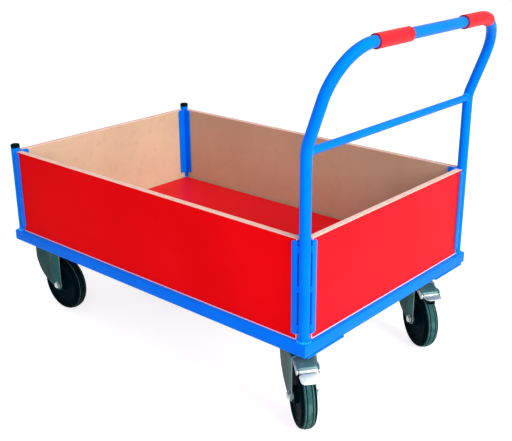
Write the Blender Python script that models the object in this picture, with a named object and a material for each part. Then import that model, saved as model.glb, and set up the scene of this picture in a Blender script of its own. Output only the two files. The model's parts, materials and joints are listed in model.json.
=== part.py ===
"""Platform cart with board sides.

A welded chassis of square tube carries a recessed deck board and stands on two fixed casters at
the plain end and two braked swivel casters at the handle end. A short capped post stands on each
plain-end corner and a bent tube push handle on the other two. Steel guides welded to these four
uprights hold the ends of four boards, which lift out upwards.

Metres, +Z up. X runs along the cart with the handle at +X, the near long side is at -Y, and the
origin is on the floor below the middle of the overall length and width.
"""

import math

import bmesh
import bpy
from mathutils import Matrix, Vector

# Clearances
SEAT_GAP = 0.0003          # between pieces that touch
SLOT_CLEARANCE = 0.0006    # each side of a board in its guides
HOLE_CLEARANCE = 0.0003    # round a pin, bolt or sleeve, on the radius

# Deck and board sides
DECK_LENGTH = 1.000
DECK_WIDTH = 0.625
DECK_THICKNESS = 0.015
DECK_CLEARANCE = 0.0010    # between the deck's edge and the rails
SIDE_THICKNESS = 0.016
SIDE_HEIGHT = 0.235
SIDE_PLAY = 0.0070         # how much shorter a board is than its bay
SIDE_END_GAP = 0.0025      # the part of that play left at the end a board is pushed to
BOARD_ARRIS = 0.0008       # chamfer on the sawn edges

# Chassis
RAIL_SIZE = 0.030
RAIL_WALL = 0.002
RAIL_CORNER = 0.003
CROSS_WIDTH = 0.030
CROSS_HEIGHT = 0.020
CROSS_WALL = 0.002
CROSS_SPACING = 0.340
MOUNT_LENGTH = 0.150
MOUNT_WIDTH = 0.142
MOUNT_INSET = 0.012        # from the long side, where no ledge shows
MOUNT_THICKNESS = 0.004
MOUNT_CHAMFER = 0.018

# Uprights and handle
UPRIGHT_INSET = 0.0175     # from the outside of the chassis to a tube's centre
TUBE_DIAMETER = 0.025
TUBE_WALL = 0.002
TUBE_SIDES = 14
PIN_SIDES = 12
BASE_WELD = 0.0020         # leg of the fillet weld round a tube's foot
POST_ABOVE_SIDE = 0.008
CAP_HEIGHT = 0.010
CAP_PLUG = 0.012
KNEE_RISE = 0.426          # above the top of the chassis
HANDLE_RISE = 0.630
HANDLE_LEAN = math.radians(20.0)
KNEE_RADIUS = 0.080
BEND_RADIUS = 0.110
CROSSBAR_DIAMETER = 0.018
CROSSBAR_WALL = 0.0015
CROSSBAR_RISE = 0.419
CROSSBAR_SIDES = 14
GRIP_DIAMETER = 0.032
GRIP_LENGTH = 0.125
GRIPS_IN = (0.0665, 0.019)       # near and far grip's middle, in along the bar from its bend

# Board guides on each upright
STRIP_WIDTH = 0.0150
STRIP_THICKNESS = 0.0030
STRIP_SLOT = 0.0115        # from the tube's centre to the strip's edge
STRIP_ROUND = 0.0060
GUIDE_RISE = 0.016         # above the chassis
GUIDE_DROP = 0.004         # below the top of the boards
STITCH_LENGTH = 0.015
STITCH_RADIUS = 0.0024
STITCH_COUNT = 3
ANGLE_SIZE = 0.025
ANGLE_THICKNESS = 0.003
ANGLE_RISE = 0.022
ANGLE_CHAMFER = 0.005

# Casters
WHEEL_DIAMETER = 0.160
WHEEL_WIDTH = 0.038
WHEEL_FACETS = 24
TYRE_BORE = 0.116
TYRE_SEAT_WIDTH = 0.031
TYRE_WIDEST = 0.066        # radius at which the tyre is widest
CROWN_POWER = 2.2          # 2 gives an elliptical crown, more a squarer one
GROOVE_OFFSETS = (-0.0065, 0.0065)
GROOVE_DEPTH = 0.0022
GROOVE_WIDTH = 0.0030
RIM_FLANGE = 0.005
WEB_THICKNESS = 0.009
HUB_DIAMETER = 0.040
HUB_WIDTH = 0.046
BEARING_DIAMETER = 0.022
AXLE_DIAMETER = 0.010
AXLE_HEAD_ACROSS = 0.016
AXLE_HEAD_HEIGHT = 0.0070
CASTER_HEIGHT = 0.2154
CASTER_SIDE_INSET = 0.092
SWIVEL_END_INSET = 0.090
FIXED_END_INSET = 0.066
SWIVEL_TRAIL = 0.040
FIXED_TRAIL = 0.026
SWIVEL_ANGLES = (math.radians(-38.0), math.radians(-33.0))   # near caster, far caster
TOP_PLATE_LENGTH = 0.120
TOP_PLATE_WIDTH = 0.100
TOP_PLATE_THICKNESS = 0.0035
TOP_PLATE_ROUND = 0.008
BOLT_PITCH = (0.092, 0.076)
BOLT_DIAMETER = 0.008
BOLT_HEAD_ACROSS = 0.013
BOLT_HEAD_HEIGHT = 0.0055
FORK_GAP = 0.050           # between the legs
FORK_SHEET = 0.003
FORK_BEND = 0.007
CROWN_HEIGHT = 0.188
LEG_AHEAD = 0.018          # from the axle to the leg's upright front edge
LEG_BEHIND = 0.092         # from the axle to the leg's swept back edge
LEG_FOOT = 0.0165          # radius of the leg's foot round the axle
SWEEP_HEIGHT = 0.070       # above the axle, where the back edge turns upright
RACE_DIAMETER = 0.060
RACE_UPPER_DEPTH = 0.012
RACE_BALL_DEPTH = 0.004
KINGPIN_DIAMETER = 0.014
KINGPIN_HEAD = 0.024
KINGPIN_HEAD_HEIGHT = 0.006

# Brake on a swivel caster, placed from the axle: ahead of it and above it
PIVOT_AHEAD = 0.050
PIVOT_ABOVE = 0.088
PIVOT_PIN = 0.005
BARREL_DIAMETER = 0.0105
LUG_RADIUS = 0.0075
LUG_SPREAD = 0.054
LUG_THICKNESS = 0.003
HOOD_WIDTH = 0.052
HOOD_THICKNESS = 0.0024
HOOD_CORNER = 0.009
HOOD_CHEEK = 0.011
PEDAL_LENGTH = 0.031
PEDAL_NECK = 0.030
PEDAL_WIDTH = 0.044
PEDAL_TIP = 0.038
PEDAL_SHEET = 0.003
PEDAL_SWELL = (0.0102, 0.0149)       # from the hinge, where the neck ends and the full width starts
PEDAL_ROUND = 0.0088
PEDAL_SLOPE = math.radians(42.0)     # below level, brake on
PEDAL_TRAVEL = math.radians(42.0)    # it stands this much higher with the brake off
BRAKES_ON = (True, False)            # near caster, far caster
SHOE_WIDTH = 0.026
SHOE_CLEARANCE = 0.0004              # from the tyre, brake on
SHOE_ANGLE = math.radians(48.0)
SHOE_ARC = math.radians(9.0)

# Sizes that follow
TUBE_RADIUS = TUBE_DIAMETER / 2
WHEEL_RADIUS = WHEEL_DIAMETER / 2
FRAME_LENGTH = DECK_LENGTH + 2 * RAIL_SIZE
FRAME_WIDTH = DECK_WIDTH + 2 * RAIL_SIZE
MOUNT_BOTTOM = CASTER_HEIGHT + SEAT_GAP
FRAME_BOTTOM = MOUNT_BOTTOM + MOUNT_THICKNESS + SEAT_GAP
FRAME_TOP = FRAME_BOTTOM + RAIL_SIZE
DECK_BOTTOM = FRAME_BOTTOM + CROSS_HEIGHT + SEAT_GAP
LEAN_RUN = (HANDLE_RISE - KNEE_RISE) * math.tan(HANDLE_LEAN)
HANDLE_OVERHANG = LEAN_RUN - UPRIGHT_INSET + GRIP_DIAMETER / 2
FRAME_LEFT = -(FRAME_LENGTH + HANDLE_OVERHANG) / 2
FRAME_RIGHT = FRAME_LEFT + FRAME_LENGTH
FRAME_MIDDLE = (FRAME_LEFT + FRAME_RIGHT) / 2
POST_X = FRAME_LEFT + UPRIGHT_INSET
LEG_X = FRAME_RIGHT - UPRIGHT_INSET
UPRIGHT_Y = FRAME_WIDTH / 2 - UPRIGHT_INSET
SIDE_TOP = FRAME_TOP + SEAT_GAP + SIDE_HEIGHT
POST_TOP = SIDE_TOP + POST_ABOVE_SIDE
SLOT_FACE = SIDE_THICKNESS / 2 + SLOT_CLEARANCE
ANGLE_HEEL = max(SLOT_FACE, (TUBE_RADIUS + SEAT_GAP) / math.sqrt(2))
AXLE_DROP = WHEEL_RADIUS - CASTER_HEIGHT
FORK_WIDTH = FORK_GAP + 2 * FORK_SHEET
AXIS_X, AXIS_Y, AXIS_Z = Vector((1, 0, 0)), Vector((0, 1, 0)), Vector((0, 0, 1))


def clear_scene():
    for obj in list(bpy.data.objects):
        bpy.data.objects.remove(obj, do_unlink=True)


def finish(name, colour, roughness, metallic=0.0):
    """A Principled material; colour is linear RGB."""
    made = bpy.data.materials.new(name)
    made.use_nodes = True
    shader = made.node_tree.nodes["Principled BSDF"]
    shader.inputs["Base Color"].default_value = (*colour, 1.0)
    shader.inputs["Roughness"].default_value = roughness
    shader.inputs["Metallic"].default_value = metallic
    made.diffuse_color = (*colour, 1.0)
    return made


def add_object(name, bm, materials, location=(0, 0, 0), parent=None, turn=0.0):
    """Turns the bmesh into a named object with outward faces and smooth round sides."""
    bmesh.ops.recalc_face_normals(bm, faces=bm.faces)
    mesh = bpy.data.meshes.new(name)
    bm.to_mesh(mesh)
    bm.free()
    mesh.shade_smooth()
    mesh.set_sharp_from_angle(angle=math.radians(32))
    for one in materials if isinstance(materials, (list, tuple)) else [materials]:
        mesh.materials.append(one)
    obj = bpy.data.objects.new(name, mesh)
    bpy.context.collection.objects.link(obj)
    obj.location = location
    obj.rotation_euler = (0, 0, turn)
    obj.parent = parent
    return obj


def shape_with(obj, steps):
    """Runs Boolean steps, pairs of an operation and a bmesh in the object's own coordinates."""
    tools = []
    for number, (operation, bm) in enumerate(steps):
        tool = add_object(f"{obj.name}_tool_{number}", bm, [])
        tool.matrix_world = Matrix.Identity(4)
        modifier = obj.modifiers.new(f"{operation.lower()} {number}", "BOOLEAN")
        modifier.operation = operation
        modifier.object = tool
        tools.append(tool)
    place, parent = obj.matrix_basis.copy(), obj.parent
    obj.parent, obj.matrix_basis = None, Matrix.Identity(4)
    bpy.context.view_layer.update()
    evaluated = obj.evaluated_get(bpy.context.evaluated_depsgraph_get())
    shaped = bpy.data.meshes.new_from_object(evaluated)
    obj.modifiers.clear()
    shaped.name = obj.name
    shaped.shade_smooth()
    shaped.set_sharp_from_angle(angle=math.radians(32))
    obj.data = shaped
    for tool in tools:
        bpy.data.objects.remove(tool, do_unlink=True)
    obj.parent, obj.matrix_basis = parent, place
    return obj


def prism(bm, outline, start, end, axis=AXIS_Z):
    """Extrudes a closed outline along an axis. Its two coordinates are the other two axes' in order."""
    along = [abs(a) for a in axis].index(1.0)
    others = [i for i in range(3) if i != along]
    corners = []
    for u, v in outline:
        point = [0.0, 0.0, 0.0]
        point[along], point[others[0]], point[others[1]] = start, u, v
        corners.append(bm.verts.new(point))
    base = bm.faces.new(corners)
    made = bmesh.ops.extrude_face_region(bm, geom=[base])["geom"]
    top = [item for item in made if isinstance(item, bmesh.types.BMVert)]
    bmesh.ops.translate(bm, verts=top, vec=Vector(axis) * (end - start))
    return corners + top


def skin(bm, rings, closed=False):
    """Joins rings of equal count with quads, and the last ring to the first if it is closed."""
    rows = [[bm.verts.new(point) for point in ring] for ring in rings]
    pairs = list(zip(rows, rows[1:] + rows[:1] if closed else rows[1:]))
    for low, high in pairs:
        for i in range(len(low)):
            j = (i + 1) % len(low)
            bm.faces.new((low[i], low[j], high[j], high[i]))
    return rows


def revolve(bm, profile, steps, axis=AXIS_Z, first_angle=0.0):
    """Spins a closed profile of (radius, height) pairs once round the axis."""
    side = AXIS_X if abs(axis.x) < 0.5 else AXIS_Y
    side = Matrix.Rotation(first_angle, 3, axis) @ side
    corners = [bm.verts.new(side * radius + axis * height) for radius, height in profile]
    edges = [bm.edges.new((a, b)) for a, b in zip(corners, corners[1:] + corners[:1])]
    bmesh.ops.spin(
        bm, geom=corners + edges, cent=(0, 0, 0), axis=axis, angle=math.tau, steps=steps, use_merge=True
    )


def rod(bm, radius, start, end, centre=(0, 0), axis=AXIS_Z, sides=16, first_angle=0.0):
    """A round bar with flat ends; centre gives its two other coordinates in axis order."""
    outline = [
        (
            centre[0] + radius * math.cos(first_angle + math.tau * i / sides),
            centre[1] + radius * math.sin(first_angle + math.tau * i / sides),
        )
        for i in range(sides)
    ]
    return prism(bm, outline, start, end, axis)


def round_of(radius, sides):
    """Corner radius of a facetted hole whose flats clear a round of this radius."""
    return radius / math.cos(math.pi / sides)


def hexagon(bm, across_flats, start, end, centre=(0, 0), axis=AXIS_Z):
    return rod(bm, across_flats / math.sqrt(3), start, end, centre, axis, sides=6)


def rounded_rectangle(width, height, radius, steps=3, centre=(0, 0)):
    """Outline of a rectangle with rounded corners, counter-clockwise from the +X side."""
    points = []
    for corner, (sx, sy) in enumerate(((1, 1), (-1, 1), (-1, -1), (1, -1))):
        cx = centre[0] + sx * (width / 2 - radius)
        cy = centre[1] + sy * (height / 2 - radius)
        for step in range(steps + 1):
            angle = (corner + step / steps) * math.pi / 2
            points.append((cx + radius * math.cos(angle), cy + radius * math.sin(angle)))
    return points


def arc(centre, radius, start, end, steps):
    """Points on an arc, ends included."""
    return [
        (
            centre[0] + radius * math.cos(start + (end - start) * i / steps),
            centre[1] + radius * math.sin(start + (end - start) * i / steps),
        )
        for i in range(steps + 1)
    ]


def box_tube(bm, length, width, height, wall, corner, mitre=0.0):
    """A rectangular tube along X, centred. A mitre of 1 cuts both ends at 45 degrees, short at +Y."""
    outer = rounded_rectangle(width, height, corner)
    inner = rounded_rectangle(width - 2 * wall, height - 2 * wall, max(corner - wall, wall / 4))
    rings = []
    for end, outline in ((-1, outer), (1, outer), (1, inner), (-1, inner)):
        rings.append([Vector((end * (length / 2 - mitre * (y + width / 2)), y, z)) for y, z in outline])
    skin(bm, rings, closed=True)


def path_rings(path, radius, sides):
    """Rings square to a path that stays in one plane at each bend, turned without twist."""
    rings = []
    side = None
    for i, point in enumerate(path):
        before = (point - path[i - 1]).normalized() if i else None
        after = (path[i + 1] - point).normalized() if i + 1 < len(path) else None
        along = ((before or after) + (after or before)).normalized()
        side = (side - along * side.dot(along)).normalized() if side else along.orthogonal().normalized()
        up = along.cross(side)
        spread = radius[i] if isinstance(radius, list) else radius
        turns = [math.tau * k / sides for k in range(sides)]
        rings.append([point + (side * math.cos(turn) + up * math.sin(turn)) * spread for turn in turns])
    return rings


def swept_tube(bm, path, outer, inner, sides):
    """A hollow tube along a path, open at both ends. outer may list a radius for each point."""
    skin(bm, path_rings(path, outer, sides) + path_rings(path, inner, sides)[::-1], closed=True)


def corner_turn(bm, sx, sy):
    """Mirrors geometry built for the +X, -Y corner into another corner."""
    bmesh.ops.scale(bm, vec=(sx, -sy, 1), verts=bm.verts)


CORNERS = {"near_plain": (-1, -1), "far_plain": (-1, 1), "near_handle": (1, -1), "far_handle": (1, 1)}


def upright_at(sx, sy):
    return Vector((LEG_X if sx > 0 else POST_X, sy * UPRIGHT_Y, 0))


def add_chassis(paint):
    """Four mitred rails, two cross members under the deck and a plate for each caster."""
    for side, sign in (("near", -1), ("far", 1)):
        bm = bmesh.new()
        box_tube(bm, FRAME_LENGTH - SEAT_GAP, RAIL_SIZE, RAIL_SIZE, RAIL_WALL, RAIL_CORNER, mitre=1.0)
        if sign > 0:
            bmesh.ops.scale(bm, vec=(1, -1, 1), verts=bm.verts)
        middle = (FRAME_MIDDLE, sign * (FRAME_WIDTH - RAIL_SIZE) / 2, FRAME_TOP - RAIL_SIZE / 2)
        add_object(f"side_rail_{side}", bm, paint, middle)
    for end, sign in (("plain", -1), ("handle", 1)):
        x = FRAME_MIDDLE + sign * (FRAME_LENGTH - RAIL_SIZE) / 2
        bm = bmesh.new()
        box_tube(bm, FRAME_WIDTH - SEAT_GAP, RAIL_SIZE, RAIL_SIZE, RAIL_WALL, RAIL_CORNER, mitre=1.0)
        quarter = Matrix.Rotation(sign * math.pi / 2, 3, "Z")
        bmesh.ops.rotate(bm, cent=(0, 0, 0), matrix=quarter, verts=bm.verts)
        add_object(f"end_rail_{end}", bm, paint, (x, 0, FRAME_TOP - RAIL_SIZE / 2))
    for name, sign in (("plain", -1), ("handle", 1)):
        bm = bmesh.new()
        box_tube(bm, DECK_WIDTH - 2 * SEAT_GAP, CROSS_WIDTH, CROSS_HEIGHT, CROSS_WALL, RAIL_CORNER)
        bmesh.ops.rotate(bm, cent=(0, 0, 0), matrix=Matrix.Rotation(math.pi / 2, 3, "Z"), verts=bm.verts)
        middle = (FRAME_MIDDLE + sign * CROSS_SPACING / 2, 0, FRAME_BOTTOM + CROSS_HEIGHT / 2)
        add_object(f"cross_member_{name}", bm, paint, middle)
    for corner, (sx, sy) in CORNERS.items():
        add_mount_plate(corner, sx, sy, paint)


def caster_centre(sx, sy):
    """Where a caster's plate is centred, from the nearest chassis corner."""
    inset = SWIVEL_END_INSET if sx > 0 else FIXED_END_INSET
    x = FRAME_RIGHT - inset if sx > 0 else FRAME_LEFT + inset
    return Vector((x, sy * (FRAME_WIDTH / 2 - CASTER_SIDE_INSET), CASTER_HEIGHT))


def add_mount_plate(corner, sx, sy, paint):
    """A flat plate under a chassis corner, drilled for the caster's bolts."""
    bm = bmesh.new()
    outline = [
        (0, MOUNT_INSET),
        (-MOUNT_LENGTH, MOUNT_INSET),
        (-MOUNT_LENGTH, MOUNT_WIDTH - MOUNT_CHAMFER),
        (MOUNT_CHAMFER - MOUNT_LENGTH, MOUNT_WIDTH),
        (0, MOUNT_WIDTH),
    ]
    prism(bm, outline, 0, MOUNT_THICKNESS)
    corner_turn(bm, sx, sy)
    outer = Vector((FRAME_RIGHT if sx > 0 else FRAME_LEFT, sy * FRAME_WIDTH / 2, MOUNT_BOTTOM))
    plate = add_object(f"caster_mount_{corner}", bm, paint, outer)
    holes = bmesh.new()
    centre = caster_centre(sx, sy) - outer
    for x, y in bolt_places():
        radius = BOLT_DIAMETER / 2 + HOLE_CLEARANCE
        rod(holes, radius, -MOUNT_THICKNESS, 2 * MOUNT_THICKNESS, (centre.x + x, centre.y + y), sides=8)
    shape_with(plate, [("DIFFERENCE", holes)])


def bolt_places():
    return [(sx * BOLT_PITCH[0] / 2, sy * BOLT_PITCH[1] / 2) for sx in (-1, 1) for sy in (-1, 1)]


def strip_and_stitches():
    """The two outer guide strips of the +X, -Y upright and the stitch welds that hold them to it."""
    strips, stitches = bmesh.new(), bmesh.new()
    bottom = FRAME_TOP + GUIDE_RISE
    top = SIDE_TOP - GUIDE_DROP
    inner, outer = -STRIP_SLOT, -STRIP_SLOT - STRIP_WIDTH
    for turned in (False, True):
        plate = bmesh.new()
        outline = [(inner, bottom), (inner, top)]
        outline += arc((outer + STRIP_ROUND, top - STRIP_ROUND), STRIP_ROUND, math.pi / 2, math.pi, 3)
        outline += arc((outer + STRIP_ROUND, bottom + STRIP_ROUND), STRIP_ROUND, math.pi, 1.5 * math.pi, 3)
        prism(plate, outline, -SLOT_FACE, -SLOT_FACE - STRIP_THICKNESS, AXIS_Y)
        beads = bmesh.new()
        reach = (TUBE_RADIUS + STITCH_RADIUS - TUBE_WALL / 2) / math.sqrt(2)
        for number in range(STITCH_COUNT):
            share = number / (STITCH_COUNT - 1) if STITCH_COUNT > 1 else 0.5
            low = bottom + 0.04 * (top - bottom) + share * (0.92 * (top - bottom) - STITCH_LENGTH)
            rod(beads, STITCH_RADIUS, low, low + STITCH_LENGTH, (-reach, -reach), sides=6, first_angle=0.2)
        for part, whole in ((plate, strips), (beads, stitches)):
            if turned:
                swap = Matrix(((0, -1, 0), (-1, 0, 0), (0, 0, 1)))
                bmesh.ops.transform(part, matrix=swap, verts=part.verts)
            mesh = bpy.data.meshes.new("part")
            part.to_mesh(mesh)
            part.free()
            whole.from_mesh(mesh)
            bpy.data.meshes.remove(mesh)
    return strips, stitches


def add_uprights(paint, black):
    """Two capped posts at the plain end."""
    for side, sy in (("near", -1), ("far", 1)):
        bm = bmesh.new()
        foot = FRAME_TOP + SEAT_GAP
        path = [Vector((0, 0, z)) for z in (foot, foot + BASE_WELD / 2, foot + BASE_WELD, POST_TOP)]
        outer = [TUBE_RADIUS + BASE_WELD, TUBE_RADIUS + BASE_WELD / 2, TUBE_RADIUS, TUBE_RADIUS]
        swept_tube(bm, path, outer, TUBE_RADIUS - TUBE_WALL, TUBE_SIDES)
        post = add_object(f"corner_post_{side}", bm, paint, upright_at(-1, sy))
        strips, stitches = strip_and_stitches()
        corner_turn(strips, -1, sy)
        corner_turn(stitches, -1, sy)
        shape_with(post, [("UNION", strips), ("UNION", stitches)])

        bore = TUBE_RADIUS - TUBE_WALL - HOLE_CLEARANCE
        dome = [(TUBE_RADIUS * math.cos(a), CAP_HEIGHT - 0.003 + 0.003 * math.sin(a)) for a in (0.0, 0.9)]
        profile = [(0.0, -CAP_PLUG), (bore - 0.001, -CAP_PLUG), (bore, 0.001 - CAP_PLUG), (bore, SEAT_GAP)]
        profile += [(TUBE_RADIUS, SEAT_GAP)] + dome + [(0.0, CAP_HEIGHT)]
        cap = bmesh.new()
        spun_solid(cap, profile, TUBE_SIDES)
        add_object(f"post_cap_{side}", cap, black, upright_at(-1, sy) + Vector((0, 0, POST_TOP)))


def spun_solid(bm, profile, steps):
    """Revolves an open profile that starts and ends on the Z axis."""
    turns = [math.tau * i / steps for i in range(steps)]
    rings = []
    for radius, height in profile[1:-1]:
        rings.append([Vector((radius * math.cos(turn), radius * math.sin(turn), height)) for turn in turns])
    rows = skin(bm, rings)
    for row, (_, height) in ((rows[0], profile[0]), (rows[-1], profile[-1])):
        tip = bm.verts.new((0, 0, height))
        for i in range(steps):
            bm.faces.new((row[i], row[(i + 1) % steps], tip))


def add_guide_angles(paint):
    """The inner guide of each upright: a short angle whose heel is welded to the tube."""
    for corner, (sx, sy) in CORNERS.items():
        bm = bmesh.new()
        heel, toe, thick = -ANGLE_HEEL, -ANGLE_HEEL - ANGLE_SIZE, ANGLE_THICKNESS
        outline = [(heel, heel), (toe, heel), (toe, heel - thick), (heel - thick, heel - thick)]
        outline += [(heel - thick, toe), (heel, toe)]
        bottom, top = FRAME_TOP + ANGLE_RISE, SIDE_TOP
        prism(bm, outline, bottom, top)
        bmesh.ops.scale(bm, vec=(1, -1, 1), verts=bm.verts)
        chamfer = [
            edge
            for edge in bm.edges
            if all(abs(v.co.z - bottom) < 1e-6 for v in edge.verts)
            or all(abs(v.co.z - top) < 1e-6 for v in edge.verts)
        ]
        chamfer = [e for e in chamfer if e.calc_length() < 1.5 * thick and is_toe(e, toe)]
        toe_edges = [e for e in chamfer if e.is_valid]
        bmesh.ops.bevel(bm, geom=toe_edges, offset=ANGLE_CHAMFER, segments=2, affect="EDGES", profile=0.5)
        bmesh.ops.scale(bm, vec=(sx, -sy, 1), verts=bm.verts)
        add_object(f"guide_angle_{corner}", bm, paint, upright_at(sx, sy))


def is_toe(edge, toe):
    """True for the short edge at the free end of either leg of a guide angle."""
    along_x = all(abs(v.co.x - toe) < 1e-6 for v in edge.verts)
    along_y = all(abs(v.co.y + toe) < 1e-6 for v in edge.verts)
    return along_x or along_y


def handle_path():
    """Centre line of the handle from the near foot to the far foot, at the handle's own X origin."""
    lean = Vector((math.sin(HANDLE_LEAN), 0, math.cos(HANDLE_LEAN)))
    knee = Vector((0, -UPRIGHT_Y, FRAME_TOP + KNEE_RISE))
    peak = knee + lean * ((HANDLE_RISE - KNEE_RISE) / math.cos(HANDLE_LEAN))
    setback = KNEE_RADIUS * math.tan(HANDLE_LEAN / 2)
    foot = FRAME_TOP + SEAT_GAP
    points = [Vector((0, -UPRIGHT_Y, z)) for z in (foot, foot + BASE_WELD / 2, foot + BASE_WELD)]
    knee_centre = knee + Vector((KNEE_RADIUS, 0, -setback))
    for i in range(4):
        angle = HANDLE_LEAN * i / 3
        points.append(knee_centre + KNEE_RADIUS * Vector((-math.cos(angle), 0, math.sin(angle))))
    bend_centre = peak - lean * BEND_RADIUS + AXIS_Y * BEND_RADIUS
    for i in range(8):
        angle = math.pi / 2 * i / 7
        points.append(bend_centre + BEND_RADIUS * (lean * math.sin(angle) - AXIS_Y * math.cos(angle)))
    points += [Vector((p.x, -p.y, p.z)) for p in reversed(points)]
    return points


def cut_path(path, start, end):
    """The stretch of a path between two distances along it from its middle."""
    steps = [(b - a).length for a, b in zip(path, path[1:])]
    half = sum(steps) / 2
    places, here = [], -half
    for point, step in zip(path, steps + [0.0]):
        places.append((here, point))
        here += step

    def point_at(distance):
        for (low, a), (high, b) in zip(places, places[1:]):
            if low <= distance <= high:
                return a.lerp(b, (distance - low) / (high - low))
        return places[-1][1]

    inner = [point for place, point in places if start + 1e-4 < place < end - 1e-4]
    return [point_at(start)] + inner + [point_at(end)]


def add_handle(paint, red_grip):
    """The bent tube with its outer guide strips, the crossbar between its legs and two sleeve grips."""
    path = handle_path()
    outer = [TUBE_RADIUS] * len(path)
    outer[0] = outer[-1] = TUBE_RADIUS + BASE_WELD
    outer[1] = outer[-2] = TUBE_RADIUS + BASE_WELD / 2
    bm = bmesh.new()
    swept_tube(bm, path, outer, TUBE_RADIUS - TUBE_WALL, TUBE_SIDES)
    hoop = add_object("handle_hoop", bm, paint, (LEG_X, 0, 0))
    steps = []
    for sy in (-1, 1):
        for tool in strip_and_stitches():
            corner_turn(tool, 1, sy)
            bmesh.ops.translate(tool, verts=tool.verts, vec=(0, sy * UPRIGHT_Y, 0))
            steps.append(("UNION", tool))
    shape_with(hoop, steps)

    bar = bmesh.new()
    ends = [Vector((0, y, FRAME_TOP + CROSSBAR_RISE)) for y in (-UPRIGHT_Y, UPRIGHT_Y)]
    swept_tube(bar, ends, CROSSBAR_DIAMETER / 2, CROSSBAR_DIAMETER / 2 - CROSSBAR_WALL, CROSSBAR_SIDES)
    crossbar = add_object("handle_crossbar", bar, paint, (LEG_X, 0, 0))
    saddle = bmesh.new()
    rings = path_rings(path, round_of(TUBE_RADIUS, TUBE_SIDES) + SEAT_GAP, TUBE_SIDES)
    rows = skin(saddle, rings)
    for row in (rows[0], rows[-1]):
        saddle.faces.new(row)
    shape_with(crossbar, [("DIFFERENCE", saddle)])

    straight = UPRIGHT_Y - BEND_RADIUS
    centres = (GRIPS_IN[0] - straight, straight - GRIPS_IN[1])
    for side, centre in zip(("near", "far"), centres):
        stretch = cut_path(path, centre - GRIP_LENGTH / 2, centre + GRIP_LENGTH / 2)
        sleeve = bmesh.new()
        bore = round_of(TUBE_RADIUS, TUBE_SIDES) + HOLE_CLEARANCE
        swept_tube(sleeve, stretch, GRIP_DIAMETER / 2, bore, TUBE_SIDES)
        add_object(f"grip_{side}", sleeve, red_grip, (LEG_X, 0, 0))


def add_board(name, size, materials, location, faces_out):
    """A board whose two large faces and edges show different finishes; faces_out is its show side."""
    bm = bmesh.new()
    bmesh.ops.create_cube(bm, size=1.0, matrix=Matrix.Diagonal((*size, 1.0)))
    bmesh.ops.bevel(bm, geom=bm.edges, offset=BOARD_ARRIS, segments=1, affect="EDGES")
    bmesh.ops.recalc_face_normals(bm, faces=bm.faces)
    for face in bm.faces:
        face.material_index = 0 if face.normal.dot(Vector(faces_out)) > 0.9 else 1
    return add_object(name, bm, materials, location)


def add_boards(laminate, raw):
    """The deck board in the chassis and the four lift-out sides."""
    deck = (DECK_LENGTH - 2 * DECK_CLEARANCE, DECK_WIDTH - 2 * DECK_CLEARANCE, DECK_THICKNESS)
    centre = (FRAME_MIDDLE, 0, DECK_BOTTOM + DECK_THICKNESS / 2)
    add_board("deck_board", deck, [laminate, raw], centre, AXIS_Z)
    z = SIDE_TOP - SIDE_HEIGHT / 2
    length = LEG_X - POST_X - TUBE_DIAMETER - SIDE_PLAY
    x = LEG_X - TUBE_RADIUS - SIDE_END_GAP - length / 2
    for side, sign in (("near", -1), ("far", 1)):
        size = (length, SIDE_THICKNESS, SIDE_HEIGHT)
        add_board(f"side_board_{side}", size, [laminate, raw], (x, sign * UPRIGHT_Y, z), sign * AXIS_Y)
    length = 2 * UPRIGHT_Y - TUBE_DIAMETER - SIDE_PLAY
    y = UPRIGHT_Y - TUBE_RADIUS - SIDE_END_GAP - length / 2
    for end, x, sign in (("plain", POST_X, -1), ("handle", LEG_X, 1)):
        size = (SIDE_THICKNESS, length, SIDE_HEIGHT)
        add_board(f"side_board_{end}", size, [laminate, raw], (x, y, z), sign * AXIS_X)


def leg_outline(top):
    """Side view of a fork leg about the axle: upright in front, swept back above a round foot."""
    points = [(LEG_AHEAD, top), (LEG_AHEAD, 0.010)]
    points += arc((0.0, 0.0), LEG_FOOT, math.radians(-10), math.radians(-130), 5)
    start = Vector(points[-1])
    pull = Vector((-0.87 * LEG_BEHIND, 0.15 * SWEEP_HEIGHT))
    end = Vector((-LEG_BEHIND, SWEEP_HEIGHT))
    for i in range(1, 8):
        t = i / 7
        blend = start * (1 - t) ** 2 + pull * 2 * t * (1 - t) + end * t**2
        points.append((blend.x, blend.y))
    points.append((-LEG_BEHIND, top))
    return points


def fork_channel(trail, top):
    """The pressed channel of a fork and its side outline, about the caster's own origin."""
    channel, outline = bmesh.new(), bmesh.new()
    half, gap, low = FORK_WIDTH / 2, FORK_GAP / 2, AXLE_DROP - 2 * LEG_FOOT
    bend = arc((half - FORK_BEND, top - FORK_BEND), FORK_BEND, 0, math.pi / 2, 3)
    inside = FORK_BEND - FORK_SHEET
    inner_bend = arc((gap - inside, top - FORK_BEND), inside, 0, math.pi / 2, 3)
    section = [(half, low)] + bend + [(-y, z) for y, z in reversed(bend)] + [(-half, low), (-gap, low)]
    section += [(-y, z) for y, z in inner_bend] + list(reversed(inner_bend)) + [(gap, low)]
    prism(channel, section, trail - 2 * LEG_BEHIND, trail + 2 * LEG_AHEAD, AXIS_X)
    side = [(trail + x, AXLE_DROP + z) for x, z in leg_outline(top - AXLE_DROP + 2 * FORK_SHEET)]
    prism(outline, side, -FORK_WIDTH, FORK_WIDTH, AXIS_Y)
    return channel, outline


def axle_hole(trail):
    bm = bmesh.new()
    radius = round_of(AXLE_DIAMETER / 2 + HOLE_CLEARANCE, PIN_SIDES)
    rod(bm, radius, -FORK_WIDTH, FORK_WIDTH, (trail, AXLE_DROP), AXIS_Y, sides=PIN_SIDES)
    return bm


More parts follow.
